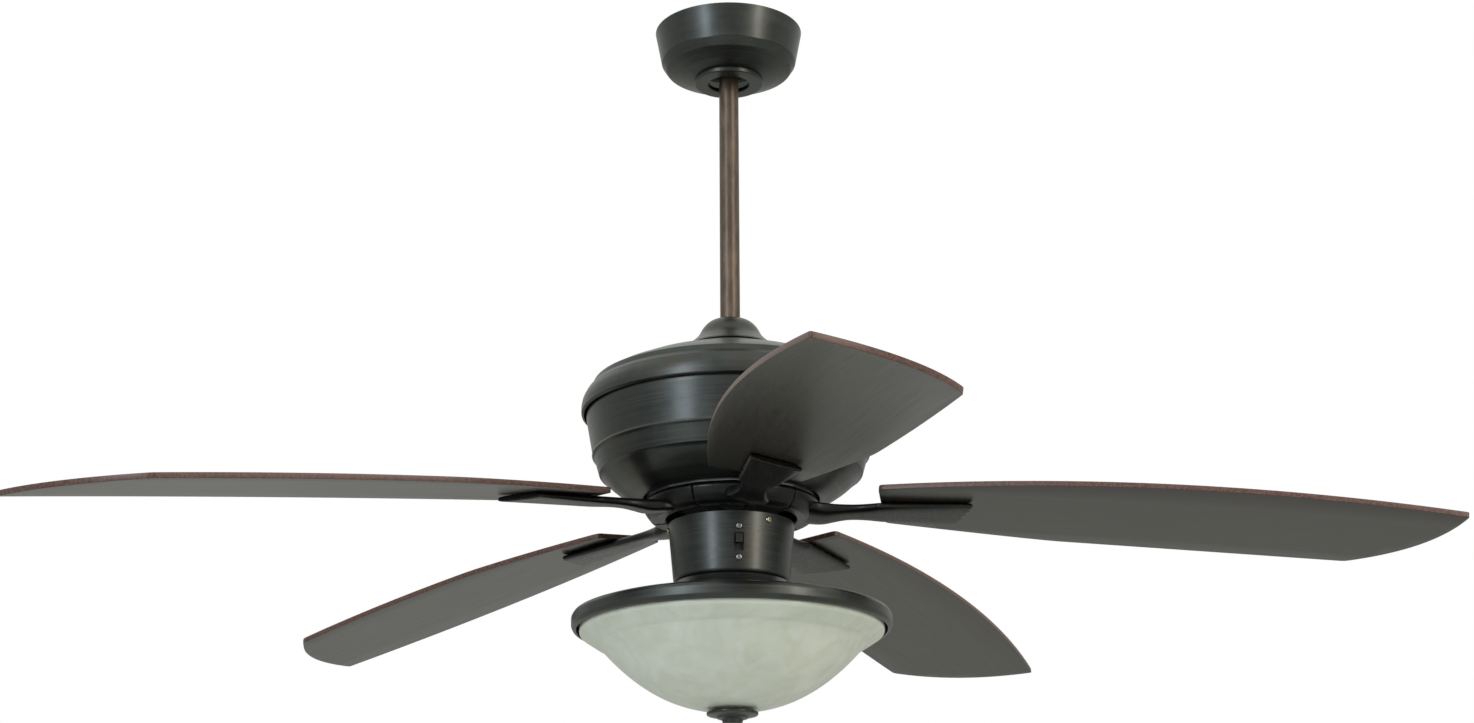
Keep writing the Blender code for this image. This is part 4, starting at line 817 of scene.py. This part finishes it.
def arm_point(share, turn):
    """A point on the arm's skin at a share of its reach and a turn round its section."""
    reach, lead, trail, follows, fall, depth = ARM_RUN[round(share * ARM_LENGTHS)]
    out = (reach - ARM_START) / (PLATE_END - ARM_START)
    slant = PLATE_SLANT * max(0.0, (out - 0.5) * 2) ** 1.5
    flat = 0.55
    across = abs(cos(turn)) ** flat * (1 if cos(turn) > 0 else -1)
    up = abs(sin(turn)) ** flat * (1 if sin(turn) > 0 else -1)
    side = (across + 1) / 2
    r = reach - slant + slant * side
    s = -trail + (lead + trail) * side
    under = underside(r, s) - GAP
    twist = min(1.0, (r - ARM_START) / 40.0)
    free = PLANE_Z - fall + BLADE_PITCH * s * twist
    top = min(free + (under - free) * follows, under)
    return r, s, top - depth * (1 - up) / 2


def make_arm():
    """The arm and plate: a round bar, cut into short lengths as far as the blade's root, then drawn to the
    casting's sections. The plate's sides run straight from there to its end."""
    bpy.ops.object.select_all(action="DESELECT")
    around, start = 28, 0.5
    bpy.ops.mesh.primitive_cylinder_add(vertices=around, radius=1.0, depth=1.0, location=(0, 0, start))
    arm = bpy.context.object
    arm.name = "arm"
    bpy.ops.object.mode_set(mode="EDIT")
    bpy.ops.transform.translate(value=(0, 0, start))
    for i in range(1, ARM_LENGTHS // 2):
        bpy.ops.mesh.select_all(action="SELECT")
        bpy.ops.mesh.bisect(plane_co=(0, 0, start + i / ARM_LENGTHS), plane_no=(0, 0, 1))
    bpy.ops.object.mode_set(mode="OBJECT")
    low = min(corner.co.z for corner in arm.data.vertices)
    for corner in arm.data.vertices:
        share = min(1.0, max(0.0, corner.co.z - low))
        corner.co = Vector(arm_point(share, atan2(corner.co.y, corner.co.x) + pi / around)) * MM
    arm.matrix_world = Matrix.Identity(4)
    select_only(arm)
    bpy.ops.object.mode_set(mode="EDIT")
    return tidy(arm)


def make_iron():
    """A fifth of the ring under the rotor with its arm joined on, softened as a casting is."""
    half = pi / BLADES - IRON_SPLIT / 2 / IRON_OUTER
    top, foot = IRON_Z, IRON_Z - IRON_HEIGHT
    inner, outer = IRON_INNER, IRON_OUTER
    profile = [(inner, top), (outer - 2.5, top), (outer, top - 4.0), (outer - 2.0, top - 10.5),
               (outer - 7.0, foot + 1.8), (outer - 11.0, foot), (inner + 1.0, foot + 0.6),
               (inner, foot + 2.0)]
    points = [(r * cos(half), -r * sin(half), z) for r, z in profile + profile[:1]]
    base = draw("iron", points)
    bpy.ops.mesh.remove_doubles(threshold=MERGE * MM)
    bpy.ops.mesh.spin(steps=16, angle=2 * half, center=(0, 0, 0), axis=(0, 0, 1))
    bpy.ops.mesh.select_all(action="SELECT")
    bpy.ops.mesh.remove_doubles(threshold=MERGE * MM)
    bpy.ops.mesh.select_all(action="SELECT")
    bpy.ops.mesh.fill_holes(sides=0)
    tidy(base)
    arm = make_arm()
    modify(base, "BOOLEAN", operation="UNION", solver="EXACT", object=arm)
    bpy.data.objects.remove(arm)
    modify(base, "REMESH", mode="VOXEL", voxel_size=1.0 * MM)
    modify(base, "SMOOTH", factor=0.5, iterations=5)
    return base


def make_irons(kit):
    pattern = make_iron()
    for number in range(1, BLADES + 1):
        piece = place(copy(pattern, f"blade_iron_cast_{number}"), blade_frame(number))
        piece.data.flip_normals()
        select_only(piece)
        bpy.ops.object.shade_smooth()
        # The irons take the darker copy of the bronze: painted shade on the ring and plates.
        fit(piece, f"blade_iron_{number}", "rotor", "oil_rubbed_bronze", kit, "cast_bronze_painted_shade")
    bpy.data.objects.remove(pattern)


# ---------------------------------------------------------------- switch housing and screws

def switch_wall(z):
    return SWITCH_RADIUS - SWITCH_TAPER * (SWITCH_TOP_Z - z) / SWITCH_HEIGHT


def wall_frame(turn_degrees, z):
    """A frame on the switch housing's wall: +X outwards from the wall, +Z up along it."""
    turn = radians(turn_degrees - 90.0)
    lean = atan2(SWITCH_TAPER, SWITCH_HEIGHT)
    radius = switch_wall(z)
    return (Matrix.Translation((radius * cos(turn), radius * sin(turn), z))
            @ Matrix.Rotation(turn, 4, "Z") @ Matrix.Rotation(lean, 4, "Y"))


def make_screw(name, length, shank, head, rise):
    """A pan head screw along -Z, with a cross recess, the underside of its head at the origin."""
    outline = [(0, rise)]
    outline += rounded([(0.2, rise, 0), (head * 0.75, rise, rise), (head, rise * 0.2, 0.3), (head, 0, 0)])
    outline += [(shank, 0), (shank, -length + shank), (0, -length)]
    piece = lathe(name, outline, 40, closed=False)
    for turn in (0, 90):
        blade = cube("slot", (-head * 0.55, -0.32, rise * 0.35), (head * 0.55, 0.32, rise + 1))
        bpy.ops.object.mode_set(mode="OBJECT")
        cut(piece, place(blade, Matrix.Rotation(radians(turn), 4, "Z")))
    return piece


def make_switch_housing(kit):
    foot = SWITCH_FOOT_Z
    outline = rounded([(SWITCH_RADIUS, SWITCH_TOP_Z, 0), (switch_wall(foot), foot, 4.5),
                       (CENTRE_ROD_RADIUS + GAP, foot, 0)], 10)
    housing = sheet_lathe("switch_housing_spun", outline, SPUN_WALL)
    middle = SWITCH_TOP_Z - SWITCH_HEIGHT / 2 - SPUN_WALL / 2
    frame_here = wall_frame(SWITCH_TURN, middle)
    width, height = SWITCH_WINDOW
    window = cube("window", (-6, -width / 2, -height / 2), (6, width / 2, height / 2))
    bpy.ops.mesh.bevel(offset=0.8 * MM, segments=3, affect="EDGES")
    bpy.ops.object.mode_set(mode="OBJECT")
    cut(housing, place(window, frame_here))
    select_only(housing)
    bpy.ops.object.shade_smooth_by_angle(angle=radians(30))
    fit(housing, "switch_housing", "fan_body", "oil_rubbed_bronze", kit)

    flat = Matrix.Translation((GAP, 0, 0)) @ Matrix.Rotation(pi / 2, 4, "Y")
    brass = make_screw("brass", 8.0, 1.7, 3.0, 1.4)
    screw_drop = 6.0
    for number, turn in enumerate(HOUSING_SCREW_TURNS, 1):
        here = wall_frame(turn, SWITCH_TOP_Z - screw_drop)
        piece = place(copy(brass, f"housing_screw_cut_{number}"), here @ flat)
        fit(piece, f"housing_screw_{number}", "fan_body", "brass_screw", kit)
    bpy.data.objects.remove(brass)
    steel = make_screw("steel", 8.0, 1.5, 2.8, 1.2)
    for number, side in enumerate((1, -1), 1):
        up = Matrix.Translation((0, 0, side * SWITCH_SCREW_SPACING / 2))
        piece = place(copy(steel, f"switch_screw_cut_{number}"), frame_here @ up @ flat)
        fit(piece, f"switch_screw_{number}", "fan_body", "zinc_steel", kit)
    bpy.data.objects.remove(steel)

    behind_wall = 0.8
    back = -SPUN_WALL - behind_wall
    knob = cube("slider", (back - 2.5, -3.2, -1.0), (2.6, 3.2, 7.0))
    bpy.ops.mesh.bevel(offset=0.5 * MM, segments=3, affect="EDGES")
    bpy.ops.object.mode_set(mode="OBJECT")
    for i in range(3):
        low = 0.8 + 1.8 * i
        groove = cube("groove", (2.1, -4.0, low), (3.5, 4.0, low + 0.8))
        bpy.ops.object.mode_set(mode="OBJECT")
        cut(knob, groove)
    knob.name = "switch_knob_ribbed"
    fit(place(knob, frame_here), "reverse_switch_slider", "switch_knob", "black_nylon", kit)


# ---------------------------------------------------------------- light

def make_light(kit):
    """The pan that holds the light, the glass bowl under it, and the washer and finial that hold the bowl."""
    top, foot, p = PAN_TOP_Z, PAN_FOOT_Z, PAN_RADIUS
    pan = rounded([(CENTRE_ROD_RADIUS + GAP, top, 0), (54.0, top, 2.5), (58.0, top - 6.5, 5.0),
                   (67.0, top - 10.5, 12.0), (p - 9.0, foot + 17.2, 14.0), (p - 2.0, foot + 14.8, 4.0),
                   (p, foot + 11.4, 3.0), (p, foot + 4.0, 3.0), (p - 1.6, foot + 1.0, 1.5),
                   (p - 4.5, foot, 0)])
    fit(sheet_lathe("fitter_pan_spun", pan, SPUN_WALL), "fitter_pan", "fan_body", "oil_rubbed_bronze", kit)

    shoulder = 122.0
    rim = rounded([(BOWL_RADIUS, foot + 14.8, 0), (BOWL_RADIUS, foot - 3.0, 4.5),
                   (shoulder + 5.0, SHOULDER_Z + 0.6, 8.0), (shoulder, SHOULDER_Z - 2.4, 0)])
    hole, rise, reach, steps = CENTRE_ROD_RADIUS + 2 * GAP, 60.8, 123.3, 34
    bowl = []
    for i in range(steps + 1):
        r = hole + (shoulder - hole) * cos(pi / 2 * i / steps)
        bowl.append((r, BOWL_LOW_Z + rise * (r / reach) ** 2.35))
    fit(sheet_lathe("glass_bowl_pressed", rim[:-1] + bowl, GLASS_WALL), "glass_bowl", "glass",
        "alabaster_glass", kit)

    bore = CENTRE_ROD_RADIUS + GAP
    top = BOWL_LOW_Z - GAP
    width, thickness = 15.0, 1.0
    washer = rounded([(bore, top, 0), (width, top, 0.3), (width, top - thickness, 0.3),
                      (bore, top - thickness, 0)])
    fit(lathe("glass_washer_moulded", washer, FEW), "glass_washer", "finial", "rubber_washer", kit)

    top -= thickness + GAP
    foot, f = top - 11.2, FINIAL_RADIUS
    cap = [(0, top - 8.0), (bore, top - 8.0), (bore, top)]
    cap += rounded([(bore, top, 0), (f, top, 1.4), (f - 0.6, top - 2.8, 1.4), (f - 8.5, top - 4.2, 4.0),
                    (f - 10.0, top - 5.8, 1.2), (f - 13.5, top - 6.6, 3.0), (f - 14.5, top - 7.8, 1.0),
                    (f - 14.8, foot + 1.2, 2.5), (f - 20.0, foot, 4.0), (0, foot, 0)])[1:]
    fit(lathe("finial_turned", cap, 96, closed=False), "finial", "finial", "oil_rubbed_bronze", kit)


# ---------------------------------------------------------------- the rest

def paint_cad(kit):
    """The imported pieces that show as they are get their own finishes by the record's slots."""
    for name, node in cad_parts.items():
        if node.hide_render:
            continue
        node.data.materials.clear()
        node.data.materials.append(kit[CAD_FINISHES[name]])


CAD_FINISHES = {name: "zinc_steel" for name in (
    "hanger_bracket", "canopy_screw_1", "canopy_screw_2", "ball_cross_pin", "clevis_pin", "yoke",
    "yoke_set_screw_1", "yoke_set_screw_2", "stator_shaft", "bearing_lower", "bearing_upper",
    "switch_plate", "shaft_nut", "centre_rod", "rod_nut_upper", "rod_nut_lower", "socket_bracket")}
CAD_FINISHES.update({
    "stator_core": "silicon_steel", "rotor_ring": "silicon_steel",
    "winding_upper": "enamelled_copper", "winding_lower": "enamelled_copper",
    "rotor_upper_shell": "cast_aluminium", "rotor_lower_shell": "cast_aluminium",
    "reverse_switch_body": "black_nylon", "capacitor": "black_nylon", "lead_wires": "wire_sleeve",
    "lamp_socket_1": "porcelain", "lamp_socket_2": "porcelain",
    "lamp_1": "lamp_glass", "lamp_2": "lamp_glass"})


def main():
    set_camera()
    set_studio()
    kit = make_finishes()
    make_ceiling_end(kit)
    make_motor(kit)
    make_blades(kit)
    make_irons(kit)
    make_switch_housing(kit)
    make_light(kit)
    paint_cad(kit)


main()
